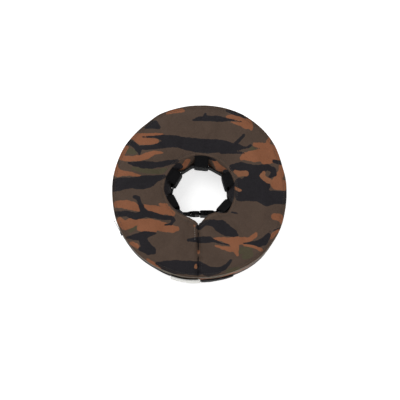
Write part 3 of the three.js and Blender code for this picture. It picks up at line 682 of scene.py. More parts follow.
def inflate(piece, pinned, caps):
    """Blows the cloth up with a simulation. Pinned points stay, and no point moves further than its cap."""
    start = places_of(piece.data)
    pins = piece.vertex_groups.new(name="pinned")
    pins.add(pinned, 1.0, "REPLACE")
    cloth = piece.modifiers.new("air", "CLOTH")
    cloth.settings.quality = 4
    cloth.settings.mass = 0.3
    cloth.settings.tension_stiffness = 14
    cloth.settings.compression_stiffness = 14
    cloth.settings.shear_stiffness = 8
    cloth.settings.bending_stiffness = 0.25
    cloth.settings.vertex_group_mass = "pinned"
    cloth.settings.use_pressure = True
    cloth.settings.uniform_pressure_force = PRESSURE
    cloth.settings.shrink_min = -SLACK
    cloth.settings.effector_weights.gravity = 0
    cloth.collision_settings.use_collision = False
    scene = bpy.context.scene
    for step in range(1, BLOW_FRAMES + 1):
        scene.frame_set(step)
    blown = piece.evaluated_get(bpy.context.evaluated_depsgraph_get())
    move = places_of(blown.data) - start
    piece.modifiers.remove(cloth)
    scene.frame_set(1)
    length = np.linalg.norm(move, axis=1, keepdims=True)
    move = move * np.minimum(1, caps[:, None] * MM / np.maximum(length, 1e-9))
    piece.data.vertices.foreach_set("co", (start + move).ravel())
    piece.vertex_groups.clear()
    piece.data.update()


def divided(piece):
    """The mesh after one level of subdivision: its points and quads, with each quad's strip and zone."""
    modifier = piece.modifiers.new("divide", "SUBSURF")
    modifier.levels = 1
    mesh = piece.evaluated_get(bpy.context.evaluated_depsgraph_get()).to_mesh()
    points = places_of(mesh) / MM
    faces = [tuple(p.vertices) for p in mesh.polygons]
    strip = np.array([d.value for d in mesh.attributes["strip"].data])
    zone = np.array([d.value for d in mesh.attributes["zone"].data])
    rest = np.array([d.vector for d in mesh.attributes["rest"].data], float)
    piece.modifiers.remove(modifier)
    return points, faces, strip, zone, rest


def region_normals(points, faces, strip, wanted):
    """A normal at each point from the faces of one strip only, so that seams stay sharp."""
    normals = np.zeros_like(points)
    for face, s in zip(faces, strip):
        if wanted is None or s == wanted:
            a, b, c = (points[face[k]] for k in (0, 1, 2))
            normals[list(face)] += np.cross(b - a, c - a)
    return unit(normals)


GATHER, BACK_GATHER = 0.55, 0.2  # height of the folds along the seams
BUNCH_LEFT, BUNCH_RIGHT, BUNCH_REACH = 0.7, 1.5, 13  # the folds beside the slit


def gathers(rest, strip):
    """How far the cloth stands out in small folds: along the seams, and bunched beside the slit."""
    x, y, z = rest.T
    radius = np.hypot(x, y)
    angle = np.arctan2(y, x)
    if strip in (SECTION_FRONT, SECTION_BACK):
        to_neck, to_outer = radius - NECK_R, OUTER_R - radius
    else:
        to_neck, to_outer = z - BACK_Z, FRONT_Z - z
    size = NECK_R if strip == SECTION_NECK else OUTER_R
    turn = angle * size
    folds = np.sin(turn / 2.4 + 1.7 * np.sin(turn / 9.0) + 0.8 * np.sin(turn / 23.0))
    uneven = 0.55 + 0.45 * np.sin(turn / 31.0 + 1.0) * np.sin(turn / 12.7)
    inner_turn = angle * NECK_R
    inner_folds = np.sin(inner_turn / 1.9 + 1.5 * np.sin(inner_turn / 8.0))
    depth = BACK_GATHER if strip == SECTION_BACK else GATHER
    at_outer = np.exp(-np.clip(to_outer, 0, None) / 7)
    at_neck = np.exp(-np.clip(to_neck, 0, None) / 8)
    height = depth * uneven * (folds * at_outer + inner_folds * at_neck)
    side = np.where(x < SLIT_X, BUNCH_LEFT, BUNCH_RIGHT)
    from_slit = np.abs(x - SLIT_X)
    bunched = np.exp(-from_slit / BUNCH_REACH) * (y < -NECK_R + 12)
    rows = np.sin((y + 0.22 * from_slit) / 2.6 + 2.2 * np.sin(y / 11.0) + 0.12 * from_slit)
    if strip in (SECTION_FRONT, SECTION_OUTER):
        line = rows if strip == SECTION_FRONT else np.sin(z / 2.5 + 1.4 * np.sin(z / 8.0))
        height = height + 1.0 * side * bunched * line
    edge = np.minimum(np.clip(to_outer, 0, 3), np.clip(to_neck, 0, 3)) / 3
    return height * edge


def cloth_place(rest, strip):
    """Where each point lies on its flat piece of cloth, in millimetres."""
    x, y, z = rest.T
    if strip in (SECTION_FRONT, SECTION_BACK):
        return np.stack([x, y, 0 * x], -1)
    if strip == SECTION_END:
        return np.stack([y, z, 0 * x], -1)
    size = NECK_R if strip == SECTION_NECK else OUTER_R
    return np.stack([np.radians(ring_angle(x, y)) * size, z, 0 * x], -1)


# Shapes of the parts that the photo doesn't show: each layer's seed, and the size of a blotch's place.
SCATTERED = (("camo_black", 3, 74), ("camo_rust", 11, 86), ("camo_olive", 23, 96))
CLOTH_SIZE = {SECTION_OUTER: (980, 84), SECTION_BACK: (330, 330), SECTION_END: (110, 84)}
BACK_CORNER = np.array((-165, -165))


def camouflage_fields(place, rest, strip):
    """How far each point lies outside each layer's shapes, and how far it lies from the nearest seam."""
    flat = place[:, :2]
    far = np.full(len(flat), FAR)
    if strip == SECTION_NECK:
        turned = flat * (math.degrees(1 / NECK_R), 1)
        made = {"camo_olive": far, "camo_over": far}
        # On the neck wall the black layer is partly print and partly painted shade.
        made["camo_black"] = stroke_distance(turned, NECK_BLACK_AND_SHADE)
        made["camo_rust"] = stroke_distance(turned, NECK_RUST)
    elif strip == SECTION_FRONT:
        fields = {"camo_black": BLACK, "camo_rust": RUST, "camo_olive": OLIVE, "camo_over": RUST_OVER}
        made = {name: stroke_distance(flat, strokes) for name, strokes in fields.items()}
    else:
        corner = BACK_CORNER if strip == SECTION_BACK else flat.min(axis=0) * (1, 0)
        made = {"camo_over": far}
        for name, seed, cell in SCATTERED:
            strokes = scattered_strokes(seed + strip * 5, *CLOTH_SIZE[strip], cell)
            made[name] = stroke_distance(flat - corner, strokes)
    x, y, z = rest.T
    radius = np.hypot(x, y)
    if strip in (SECTION_FRONT, SECTION_BACK):
        seam = np.minimum(radius - NECK_R, OUTER_R - radius)
    elif strip == SECTION_END:
        seam = far
    else:
        seam = np.minimum(z - BACK_Z, FRONT_Z - z)
    made["seam"] = np.clip(seam, 0, 30)
    return made


def follow(piece, side, slot, *nodes, pad=False):
    """Ties a piece to the body that it moves with, or for the crown bakes its placement into its mesh, and
    hides the CAD nodes it stands for.
    """
    if side == "crown":
        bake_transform(piece)
    else:
        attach(piece, f"collar_{side}" if side in ("left", "right") else side)
    if nodes:
        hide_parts(*nodes)


BLADDER_GAP = 3.4  # how far the bladder lies inside the cover


def make_bladder(points, faces, strip, zone):
    """The air bladder: the cover's shape, a little smaller all round, in clear vinyl."""
    inside = points - region_normals(points, faces, strip, None) * BLADDER_GAP
    inside[:, 2] = np.clip(inside[:, 2], BACK_Z - 3, FRONT_Z + CROWN_RISE)
    normals = region_normals(inside, faces, strip, None)
    for z, side in enumerate(SIDES):
        index, quads = picked([f for f, fz in zip(faces, zone) if fz == z])
        piece = make_piece(f"bladder_{side}_vinyl", inside[index], quads, VINYL, None, normals[index])
        follow(piece, side, "vinyl", *([] if side == "crown" else [f"bladder_{side}"]), pad=True)


def shaped_cover():
    """The cover blown up by simulation, settled and divided, with a bladder made inside it on the way."""
    points, faces, strip, zone = cover_cage()
    cage = make_piece("cover_cage", points, faces, CAMOUFLAGE)
    mesh = cage.data
    for name, values in (("strip", strip), ("zone", zone)):
        attribute = mesh.attributes.new(name, "INT", "FACE")
        attribute.data.foreach_set("value", values.astype(np.int32))
    rest = mesh.attributes.new("rest", "FLOAT_VECTOR", "POINT")
    rest.data.foreach_set("vector", points.astype(np.float32).ravel())

    touching = [set() for _ in points]
    for face, s in zip(faces, strip):
        for v in face:
            touching[v].add(int(s))
    seams = {i for i, t in enumerate(touching) if len(t) > 1}
    pinned = [i for i, t in enumerate(touching) if len(t) > 1 or SECTION_END in t]
    inflate(cage, pinned, np.array([min(MOST_MOVE[s] for s in t) for t in touching]))
    shaped = settle(places_of(mesh) / MM)
    mesh.vertices.foreach_set("co", (shaped * MM).ravel())
    crease = mesh.attributes.new("crease_edge", "FLOAT", "EDGE")
    sharp = [1.0 if e.vertices[0] in seams and e.vertices[1] in seams else 0.0 for e in mesh.edges]
    crease.data.foreach_set("value", sharp)
    make_bladder(shaped, faces, strip, zone)
    result = divided(cage)
    bpy.data.objects.remove(cage)
    return result


def make_cover():
    """The cover's panels: the shaped cloth, gathered and parted at its seams and into its zones."""
    points, faces, strip, zone, rest = shaped_cover()
    pieces = {}
    for s, region in enumerate(REGIONS):
        moved = points.copy()
        if s != SECTION_END:
            used = np.unique([v for f, fs in zip(faces, strip) if fs == s for v in f])
            stand = np.zeros(len(points))
            stand[used] = gathers(rest[used], s)
            moved = moved + region_normals(points, faces, strip, s) * stand[:, None]
        moved[:, 2] = np.maximum(moved[:, 2], FLOOR_GAP)
        normals = region_normals(moved, faces, strip, s)
        place = cloth_place(points if s == SECTION_FRONT else rest, s)
        for z, side in enumerate(SIDES):
            chosen = [f for f, fs, fz in zip(faces, strip, zone) if fs == s and fz == z]
            if s == SECTION_OUTER and z == LEFT:
                chosen = [f for f in chosen if from_port(np.mean([rest[v] for v in f], axis=0)) > PORT_R]
            if not chosen:
                continue
            index, quads = picked(chosen)
            fields = camouflage_fields(place[index], rest[index], s)
            fields["cloth"] = place[index]
            name = f"{region}_{side}_cloth"
            pieces[region, side] = make_piece(
                name, moved[index], quads, CAMOUFLAGE, fields, normals[index]
            )
    return pieces


cover = make_cover()
for (region, side), piece in cover.items():
    nodes = [] if side == "crown" else [f"{region}_{side}"]
    follow(piece, side, "camouflage_fabric", *nodes, pad=True)


# ---------------------------------------------------------------- tubes, straps and stitches
UNWORN, LITTLE_WORN = 2.2, 3.4  # distances to the edge at which tape, and printed cloth, look little rubbed


def tube(name, line, radius, material, sides=8, pattern=None):
    """A round cord along a line. pattern is the strip whose printed cloth covers it."""
    line = np.asarray(line, float)
    along = unit(np.gradient(line, axis=0))
    side = unit(np.cross(along, np.array((0, 0, 1.0))))
    rise = np.cross(side, along)
    turns = np.linspace(0, 2 * math.pi, sides + 1)
    rings = []
    for p, s, u in zip(line, side, rise):
        rings += [p + radius * (math.cos(t) * s + math.sin(t) * u) for t in turns]
    fields = {"seam": np.full(len(rings), UNWORN)}
    if pattern is not None:
        points = np.array(rings)
        fields = camouflage_fields(cloth_place(points, pattern), points, pattern)
        fields["seam"] = np.full(len(rings), LITTLE_WORN)
    fields["cloth"] = [(d, t * radius, 0) for d in distance_along(line) for t in turns]
    return make_piece(name, rings, grid_faces(len(line), sides + 1), material, fields)


BAND_ROWS, FLAT_SHARE, EDGE_THIN = 7, 0.85, 0.55  # a strap's points across, and how its edges thin out


def band(name, line, outward, width, thickness, material):
    """A flat strap of webbing with rounded edges. outward is its face's direction at each point."""
    line, outward = np.asarray(line, float), unit(outward)
    along = unit(np.gradient(line, axis=0))
    side = unit(np.cross(outward, along))
    half, deep = width / 2, thickness / 2
    ring = []
    for v in np.linspace(-1, 1, BAND_ROWS):
        ring.append((v * half, deep * (1 - EDGE_THIN * max(0, abs(v) - FLAT_SHARE) / (1 - FLAT_SHARE))))
    ring += [(v, -w) for v, w in ring[::-1]]
    points, cloth, seam = [], [], []
    for p, s, o, d in zip(line, side, outward, distance_along(line)):
        for v, w in ring:
            points.append(p + v * s + w * o)
            cloth.append((d, v, 0))
            seam.append(half - abs(v))
    n = len(ring)
    faces = sleeve_faces(len(line), n)
    faces.append(tuple(range(n))[::-1])
    faces.append(tuple(range(len(points) - n, len(points))))
    return make_piece(name, points, faces, material, {"cloth": cloth, "seam": seam})


# A thread's rings of points: place along half its length, share of its radius, and how far it is humped.
THREAD_RINGS = ((-1, 0.35, -0.3), (-0.6, 1, 0.15), (0, 1.1, 0.3), (0.6, 1, 0.15), (1, 0.35, -0.3))
THREAD_SIDES = 6


def threads(name, centres, ways, ups, length, radius, material):
    """Short rounded threads, one at each centre: each lies along its way and is humped towards its up."""
    points, faces = [], []
    for centre, way, up in zip(centres, ways, ups):
        side = np.cross(way, up)
        start = len(points)
        for t, size, lift in THREAD_RINGS:
            for k in range(THREAD_SIDES):
                turn = k * 2 * math.pi / THREAD_SIDES
                offset = radius * size * (math.cos(turn) * side + math.sin(turn) * up)
                points.append(centre + way * t * length / 2 + up * lift + offset)
        faces += sleeve_faces(len(THREAD_RINGS), THREAD_SIDES, start)
        faces.append(tuple(range(start, start + THREAD_SIDES))[::-1])
        faces.append(tuple(range(len(points) - THREAD_SIDES, len(points))))
    return make_piece(name, points, faces, material)


def stitches(name, line, facing, material, pitch=3.0, length=2.1, radius=0.28):
    """A row of threads along a line."""
    line, facing = np.asarray(line, float), unit(facing)
    run = distance_along(line)

    def at(values, d):
        return np.array([np.interp(d, run, values[:, k]) for k in range(3)])

    centres, ways, ups = [], [], []
    for d in np.arange(pitch / 2, run[-1] - pitch / 3, pitch):
        here, ahead = at(line, d - 0.4), at(line, d + 0.4)
        centres.append((here + ahead) / 2)
        ways.append(unit(ahead - here))
        ups.append(unit(at(facing, d)))
    return threads(name, centres, ways, ups, length, radius, material)


SEAMS = {
    "front_outer": (OUTER_R, FRONT_Z),
    "back_outer": (OUTER_R, BACK_Z),
    "front_neck": (NECK_R, FRONT_Z),
    "back_neck": (NECK_R, BACK_Z),
}
PIPING_OUT = 0.4  # how far the piping stands out from its seam
NECK_PIPING, OUTER_PIPING = 0.5, 0.7  # shares of the CAD piping's radius that show


def make_piping():
    """A covered cord in each of the four seams."""
    for seam, (radius, height) in SEAMS.items():
        for zone, side in enumerate(SIDES):
            line = settle(seam_line(radius, height, zone))
            away = unit(line - settle(seam_line(MID_R, MID_Z, zone))[: len(line)]) * PIPING_OUT
            pattern = SECTION_FRONT if height == FRONT_Z else SECTION_BACK
            thickness = PIPING_R * (NECK_PIPING if radius == NECK_R else OUTER_PIPING)
            piece = tube(f"{seam}_piping_{side}_cord", line + away, thickness, CAMOUFLAGE, pattern=pattern)
            nodes = [] if side == "crown" else [f"{seam}_piping_{side}"]
            follow(piece, side, "seam_piping", *nodes)


make_piping()


# ---------------------------------------------------------------- finding the cover's surface
def surface_tree(region):
    """A search tree of one region's final cloth."""
    points, polygons = [], []
    for (name, _), piece in cover.items():
        if name == region:
            start = len(points)
            points += [v.co / MM for v in piece.data.vertices]
            polygons += [[start + v for v in p.vertices] for p in piece.data.polygons]
    return BVHTree.FromPolygons(points, polygons)


OUTER_WALL = surface_tree("outer_gusset")
FRONT_FACE = surface_tree("front_panel")
BACK_FACE = surface_tree("back_panel")


SLIT_NUDGE = 1.6  # degrees, from the slit's middle to the cloth beside it


def on_wall(angle, z, depth):
    """A point of the outer wall, moved out by depth. Over the slit it is level with the cloth beside."""
    way = Vector((math.cos(math.radians(angle)), math.sin(math.radians(angle)), 0))
    radius = OUTER_R + OUTER_BULGE
    for nudge in (0, SLIT_NUDGE, -SLIT_NUDGE):
        a = math.radians(angle + nudge)
        aim = Vector((math.cos(a), math.sin(a), 0))
        hit = OUTER_WALL.ray_cast(aim * (OUTER_R - 15) + Vector((0, 0, z)), aim)
        if hit[0]:
            radius = math.hypot(hit[0].x, hit[0].y)
            break
    return np.array((way.x * (radius + depth), way.y * (radius + depth), z))


def on_face(tree, x, y, depth=0.0):
    """A point of the front or back face, moved out by depth."""
    front = tree is FRONT_FACE
    hit = tree.ray_cast(Vector((x, y, 120 if front else -40)), Vector((0, 0, -1 if front else 1)))
    level = hit[0].z if hit[0] else (FRONT_Z if front else FLOOR_GAP)
    return np.array((x, y, level + (depth if front else -depth)))


PATCH_CELL = 2.6


def patch_lines(size, rim):
    """Where a patch's lines of points lie across it, with one close to each edge."""
    count = max(3, int(size / PATCH_CELL) - 1)
    return [0, rim, *np.linspace(PATCH_CELL, size - PATCH_CELL, count), size - rim, size]


def slab(name, point_at, width, height, thickness, material, squeeze=None):
    """A thin patch with rounded edges. point_at(u, v, depth) is a point of it; squeeze(u) narrows it."""
    us, vs = patch_lines(width, thickness / 2), patch_lines(height, thickness / 2)
    outer, inner, cloth, seam = [], [], [], []
    for i, u in enumerate(us):
        narrow = squeeze(u) if squeeze else 1.0
        for j, raw in enumerate(vs):
            v = height / 2 + (raw - height / 2) * narrow
            at_rim = i in (0, len(us) - 1) or j in (0, len(vs) - 1)
            outer.append(point_at(u, v, thickness * (0.4 if at_rim else 1)))
            inner.append(point_at(u, v, 0))
            cloth.append((u, v, 0))
            seam.append(min(u, width - u, raw, height - raw))
    rows, cols, n = len(us), len(vs), len(outer)
    faces = grid_faces(rows, cols)
    faces = faces + [tuple(v + n for v in f[::-1]) for f in faces]
    edge = list(range(cols)) + [i * cols + cols - 1 for i in range(1, rows)]
    edge += [(rows - 1) * cols + j for j in range(cols - 2, -1, -1)]
    edge += [i * cols for i in range(rows - 2, 0, -1)]
    for a, b in zip(edge, edge[1:] + edge[:1]):
        faces.append((b, a, a + n, b + n))
    return make_piece(name, outer + inner, faces, material, {"cloth": cloth * 2, "seam": seam * 2})


def wall_patch(name, span, heights, depth, thickness, material, squeeze=None, flare=0.0):
    """A patch on the outer wall between two angles and two heights, whose foot may hang away from it."""
    width, height = math.radians(span[1] - span[0]) * OUTER_R, heights[1] - heights[0]

    def point_at(u, v, d):
        hang = flare * (1 - v / height) ** 1.5 * (1 + 0.16 * math.sin(u / 5.0))
        return on_wall(span[0] + math.degrees(u / OUTER_R), heights[0] + v, depth + d + hang)

    return slab(name, point_at, width, height, thickness, material, squeeze)


def wall_stitches(name, corners, depth, material, pitch=2.6, radius=0.26):
    """Stitches through points given as (angle, z) on the outer wall."""
    line = []
    for (a0, z0), (a1, z1) in zip(corners, corners[1:]):
        count = max(2, int((abs(a1 - a0) * 2.7 + abs(z1 - z0)) / 2))
        line += [on_wall(a0 + (a1 - a0) * t, z0 + (z1 - z0) * t, depth) for t in np.linspace(0, 1, count)]
    line = np.array(line)
    return stitches(name, line, line * (1, 1, 0), material, pitch, pitch * 0.7, radius)


# ---------------------------------------------------------------- webbing loops and neck strap
WEB = 25.0  # width of the webbing
STRAP, LOOP_WEB = 2.0, 1.5  # thickness of the strap's webbing and of the loops'
# Each loop: angle and radius at which it holds the strap, angle that it faces, and the side it moves with.
LOOPS = {
    "crown": (86, 49, 84, "crown"),
    "left_upper": (149, 47, 150, "crown"),
    "left_lower": (201, 47, 207, "left"),
    "right_lower": (330, 48, 318, "right"),
    "right_upper": (22, 50.5, 16, "crown"),
}
LOWER_TUCK = 1.6  # the lower loops' front ends are tucked in under the pushed-in cover
LOOP_SLACK = 0.6  # gap between a loop and the strap
TACK_PITCH, TACK_LENGTH, TACK_R = 1.9, 1.6, 0.3


def smooth_line(points, steps):
    """A smooth curve through points, sampled finely."""
    p = np.asarray(points, float)
    p = np.vstack([2 * p[0] - p[1], p, 2 * p[-1] - p[-2]])
    out = []
    for i in range(1, len(p) - 2):
        for t in np.linspace(0, 1, steps, endpoint=i == len(p) - 3):
            a, b, c, d = p[i - 1 : i + 3]
            squared, cubed = 2 * a - 5 * b + 4 * c - d, 3 * b - a - 3 * c + d
            out.append(0.5 * (2 * b + (c - a) * t + squared * t**2 + cubed * t**3))
    return np.array(out)


def make_loops():
    """Five loops of webbing from the front seam of the neck to its back seam, tacked down at both ends."""
    for name, (at, out, facing, side) in LOOPS.items():
        aside = out * math.sin(math.radians(at - facing))
        root = math.sqrt((NECK_R - 0.6) ** 2 - (WEB / 2 + abs(aside)) ** 2)
        face = out * math.cos(math.radians(at - facing)) - STRAP / 2 - LOOP_SLACK - LOOP_WEB / 2
        rise = WEB / 2 + 2.6
        tuck = LOWER_TUCK if name.endswith("lower") else 0
        shape = [
            (root + 2.2 - tuck, 33.6 - tuck), (root - tuck / 2, 32.4 - tuck / 2), (root - 4.5, 27),
            (face + 2.5, rise + 3), (face, rise - 2), (face - 0.4, 4), (face - 0.3, -5),
            (face, -rise + 2), (face + 2.5, -rise - 3), (root - 4.5, -27),
            (root, -32.4), (root + 2.2, -33.0),
        ]
        curve = smooth_line([(r, aside, MID_Z + z) for r, z in shape], 5)
        ahead = np.gradient(curve, axis=0)
        outward = np.stack([-ahead[:, 2], 0 * ahead[:, 0], ahead[:, 0]], -1)
        a = math.radians(facing)
        turn = np.array(((math.cos(a), -math.sin(a), 0), (math.sin(a), math.cos(a), 0), (0, 0, 1)))
        line = curve @ turn.T
        piece = band(f"webbing_loop_{name}_band", line, outward @ turn.T, WEB, LOOP_WEB, WEBBING)
        follow(piece, side, "black_webbing", f"webbing_loop_{name}")
        for tag, z in (("front", MID_Z + 26.0), ("back", MID_Z - 26.0)):
            row = [(root - 3.9, aside + y, z) for y in np.linspace(-WEB / 2 + 2, WEB / 2 - 2, 9)]
            away = np.tile(np.array((-1.0, 0, 0.5)) @ turn.T, (len(row), 1))
            line = np.array(row) @ turn.T + away * 0.9
            tacks = (TACK_PITCH, TACK_LENGTH, TACK_R)
            thread = stitches(f"loop_{name}_tack_{tag}", line, away, THREAD, *tacks)
            follow(thread, side, "black_webbing")


make_loops()

BUCKLE_X, BUCKLE_Y = 1.0, -38.5
WRAP = 2.9  # radius at which the strap turns round a bar of the buckle
MALE_BAR_X, FEMALE_BAR_X = BUCKLE_X - 14.4, BUCKLE_X + 24.6
CORNER_STEP = 14  # degrees between points round a corner
STRAP_STEP = 3.5


def rounded(corners):
    """A line through corners, each rounded by its own radius: (x, y, radius)."""
    line = [np.array(corners[0][:2], float)]
    for before, corner, after in zip(corners, corners[1:], corners[2:]):
        at, radius = np.array(corner[:2], float), corner[2]
        into, out = unit(at - np.array(before[:2])), unit(np.array(after[:2]) - at)
        turn = math.atan2(into[0] * out[1] - into[1] * out[0], into @ out)
        start = at - into * radius * math.tan(abs(turn) / 2)
        centre = start + np.array((-into[1], into[0])) * math.copysign(radius, turn)
        ax, ay = start - centre
        for t in np.linspace(0, turn, max(3, int(abs(math.degrees(turn)) / CORNER_STEP) + 2)):
            cos, sin = math.cos(t), math.sin(t)
            line.append(centre + np.array((cos * ax - sin * ay, sin * ax + cos * ay)))
    line.append(np.array(corners[-1][:2], float))
    return np.array(line)


def through_loop(name, sense, reach=(16, 16)):
    """The strap's two corners beside a loop, each with the radius of its bend."""
    at, out, facing, _ = LOOPS[name]
    f, a = math.radians(facing), math.radians(at)
    along = np.array((-math.sin(f), math.cos(f))) * sense
    centre = np.array((out * math.cos(a), out * math.sin(a)))
    return [(*(centre + d * along), 8) for d in (-reach[0], reach[1])]


def strap_band(name, corners, side, *nodes):
    """A length of the neck strap, standing on edge along its corners."""
    line = rounded(corners)
    fine = []
    for a, b in zip(line, line[1:]):
        count = max(1, int(np.linalg.norm(b - a) / STRAP_STEP))
        fine += [a + (b - a) * i / count for i in range(count)]
    fine.append(line[-1])
    line = np.array([(x, y, MID_Z) for x, y in fine])
    along = np.gradient(line, axis=0)
    outward = np.stack([along[:, 1], -along[:, 0], 0 * along[:, 0]], -1)
    piece = band(name, line, outward, WEB, STRAP, WEBBING)
    follow(piece, side, "black_webbing", *nodes)


def halfway(before, after):
    """The point between two corners, where the strap is parted."""
    return tuple((np.array(before[:2]) + np.array(after[:2])) / 2)


def make_strap():
    """The neck strap, doubled round the buckle's male bar, through the loops, and round the female bar."""
    near, far = BUCKLE_Y + WRAP, BUCKLE_Y - WRAP
    doubled = STRAP / 2 + 0.15
    crown = through_loop("crown", -1)
    left_lower, left_upper = through_loop("left_lower", -1), through_loop("left_upper", -1)
    right_lower, right_upper = through_loop("right_lower", 1, (15.5, 16)), through_loop("right_upper", 1)
    left_split, right_split = halfway(left_lower[1], left_upper[0]), halfway(right_lower[1], right_upper[0])
    left = [
        (MALE_BAR_X - 17, BUCKLE_Y - doubled),
        (MALE_BAR_X - 8, BUCKLE_Y - doubled, 6),
        (MALE_BAR_X - 2, far, 5),
        (MALE_BAR_X + WRAP, far, WRAP),
        (MALE_BAR_X + WRAP, near, WRAP),
        (MALE_BAR_X - 2, near, 5),
        (MALE_BAR_X - 8, BUCKLE_Y + doubled, 6),
        (MALE_BAR_X - 18, BUCKLE_Y + doubled, 5),
        *left_lower,
        left_split,
    ]
    over = [left_split, *left_upper, *crown, *right_upper[::-1], right_split]
    right = [
        (FEMALE_BAR_X + 5, far),
        (FEMALE_BAR_X - WRAP, far, WRAP),
        (FEMALE_BAR_X - WRAP, near, WRAP),
        *right_lower,
        right_split,
    ]
    strap_band("neck_strap_left_band", left, "left", "neck_strap_left")
    strap_band("neck_strap_crown_band", over, "crown")
    strap_band("neck_strap_right_band", right, "right", "neck_strap_right")


make_strap()


# ---------------------------------------------------------------- seams, zip, closure and label
SEAM_PITCH, SEAM_STITCH, SEAM_INSET = 3.4, 2.4, 4.2
LIE = 0.1  # how far a stitch's middle lies above the cloth


def make_seam_stitches():
    """Topstitching beside the seams of the front, back and outer wall, and a pale tape at the front edge
    that is partly painted highlight.
    """
    faces = (("front", FRONT_FACE, FRONT_Z, 1.0), ("back", BACK_FACE, BACK_Z, -1.0))
    rings = (("outer", OUTER_R - SEAM_INSET), ("neck", NECK_R + SEAM_INSET))
    for zone, side in enumerate(SIDES):
        for face, tree, height, up in faces:
            for edge, radius in rings:
                flat = settle(seam_line(radius, height, zone))
                line = np.array([on_face(tree, x, y, LIE) for x, y, _ in flat])
                facing = np.tile((0, 0, up), (len(line), 1))
                name = f"{face}_{edge}_stitches_{side}"
                piece = stitches(name, line, facing, THREAD, SEAM_PITCH, SEAM_STITCH)
                follow(piece, side, "camouflage_fabric")
        for name, height in (("gusset_front", FRONT_Z - 4.5), ("gusset_back", BACK_Z + 4.0)):
            angles = np.degrees(np.arctan2(*seam_line(OUTER_R, height, zone)[:, 1::-1].T))
            line = np.array([on_wall(a, height, LIE) for a in angles])
            facing = line * (1, 1, 0)
            piece = stitches(f"{name}_stitches_{side}", line, facing, THREAD, SEAM_PITCH, SEAM_STITCH)
            follow(piece, side, "camouflage_fabric")
        # A pale tape under the front-outer seam: partly a pale cut edge, partly painted highlight where the
        # turned edge catches the light.
        line = settle(seam_line(OUTER_R + 1.5, FRONT_Z - 2.2, zone))
        follow(tube(f"edge_tape_and_highlight_{side}", line, 0.62, EDGE_TAPE_AND_HIGHLIGHT, 6), side, "seam_piping")


def make_slit_edges():
    """Dark cords along the slit's two front edges, which darken its line, and a row of stitches beside each
    of them.
    """
    radii = np.arange(NECK_R + 0.5, OUTER_R, 2.5)
    full = 1 - np.abs((radii - MID_R) / (OUTER_R - MID_R)) ** CROWN_CURVE
    for side, x in (("left", LEFT_END_X), ("right", RIGHT_END_X)):
        edge = np.stack([x + 0 * radii, -np.sqrt(radii**2 - x**2), FRONT_Z + CROWN_RISE * full], -1)
        # Each dark cord runs along one front edge of the slit and darkens its line.
        dark_cord = tube(f"slit_dark_cord_{side}", settle(edge), 0.75, WEBBING, 6)
        follow(dark_cord, side, "seam_piping")
    rows = (("left", LEFT_END_X - 4.4, -96.0, PALE_THREAD), ("right", RIGHT_END_X + 4.6, -151.0, THREAD))
    for side, x, end_y, thread in rows:
        line = [on_face(FRONT_FACE, x, y, LIE) for y in np.arange(-64.0, end_y, -2.0)]
        facing = np.tile((0, 0, 1.0), (len(line), 1))
        piece = stitches(f"slit_stitches_{side}", line, facing, thread, 4.2, 2.0, 0.24)
        follow(piece, side, "camouflage_fabric")


# Angles and heights on the outer wall, as in the CAD model.
ZIP_Z, ZIP_FROM, ZIP_TO, ZIP_TOP = 18.0, 204.0, 250.6, 46.0
TAB_FROM, TAB_FOLD, TAB_TO = 251.0, 271.0, 292.5
TAB_Z = (12.0, 46.0)
LABEL_SPAN, LABEL_Z = (251.4, 270.5), (23.0, 56.0)
TOOTH_PITCH, TOOTH_ASIDE, TOOTH_LENGTH, TOOTH_R = 1.45, 1.15, 3.2, 0.6
TIP_CORNER = 7.0
# Each layer on the wall: how far above the cloth it starts, and its thickness.
TAPE_LAYER, BASE_LAYER, FLAP_LAYER = (0.15, 0.6), (0.3, 2.5), (2.05, 0.9)
HOOK_LAYER, LOOP_LAYER, LABEL_LAYER = (1.2, 0.8), (0.15, 0.8), (3.1, 0.45)
LABEL_FLARE = 2.6  # how far the label's foot hangs away from the wall


def make_zip():
    """The zip's two tapes, their coils of teeth, and three rows of stitches."""
    tapes = (("upper", (ZIP_Z + 0.3, ZIP_TOP)), ("lower", (BACK_Z + 2.0, ZIP_Z - 0.3)))
    for name, heights in tapes:
        piece = wall_patch(f"zip_tape_{name}_cloth", (ZIP_FROM, ZIP_TO), heights, *TAPE_LAYER, ZIP_TAPE)
        follow(piece, "left", "black_webbing", f"zip_tape_{name}")
    pitch = math.degrees(TOOTH_PITCH / OUTER_R)
    for name, z, shift in (("upper", ZIP_Z + TOOTH_ASIDE, 0.0), ("lower", ZIP_Z - TOOTH_ASIDE, 0.5)):
        angles = np.arange(ZIP_FROM + 3.2, ZIP_TO - 1, pitch) + shift * pitch
        centres = [on_wall(a, z, 1.0) for a in angles]
        ups = [unit(c * (1, 1, 0)) for c in centres]
        ways = [np.array((0, 0, 1.0))] * len(centres)
        piece = threads(f"zip_teeth_{name}_coil", centres, ways, ups, TOOTH_LENGTH, TOOTH_R, PLASTIC)
        follow(piece, "left", "black_plastic", f"zip_teeth_{name}")
    for name, z in (("top", ZIP_TOP - 1.6), ("upper", ZIP_Z + 5.5), ("lower", ZIP_Z - 6)):
        piece = wall_stitches(f"zip_stitches_{name}", ((ZIP_FROM + 1, z), (ZIP_TO - 1, z)), 0.8, THREAD)
        follow(piece, "left", "black_webbing")


def rounded_tip(u):
    """How much the flap is narrowed at a distance from its fold, to round its tip."""
    width, height = math.radians(TAB_TO - TAB_FOLD) * OUTER_R, TAB_Z[1] - TAB_Z[0]
    short = max(0.0, u - (width - TIP_CORNER))
    return 1 - (TIP_CORNER - math.sqrt(TIP_CORNER**2 - short**2)) / (height / 2)


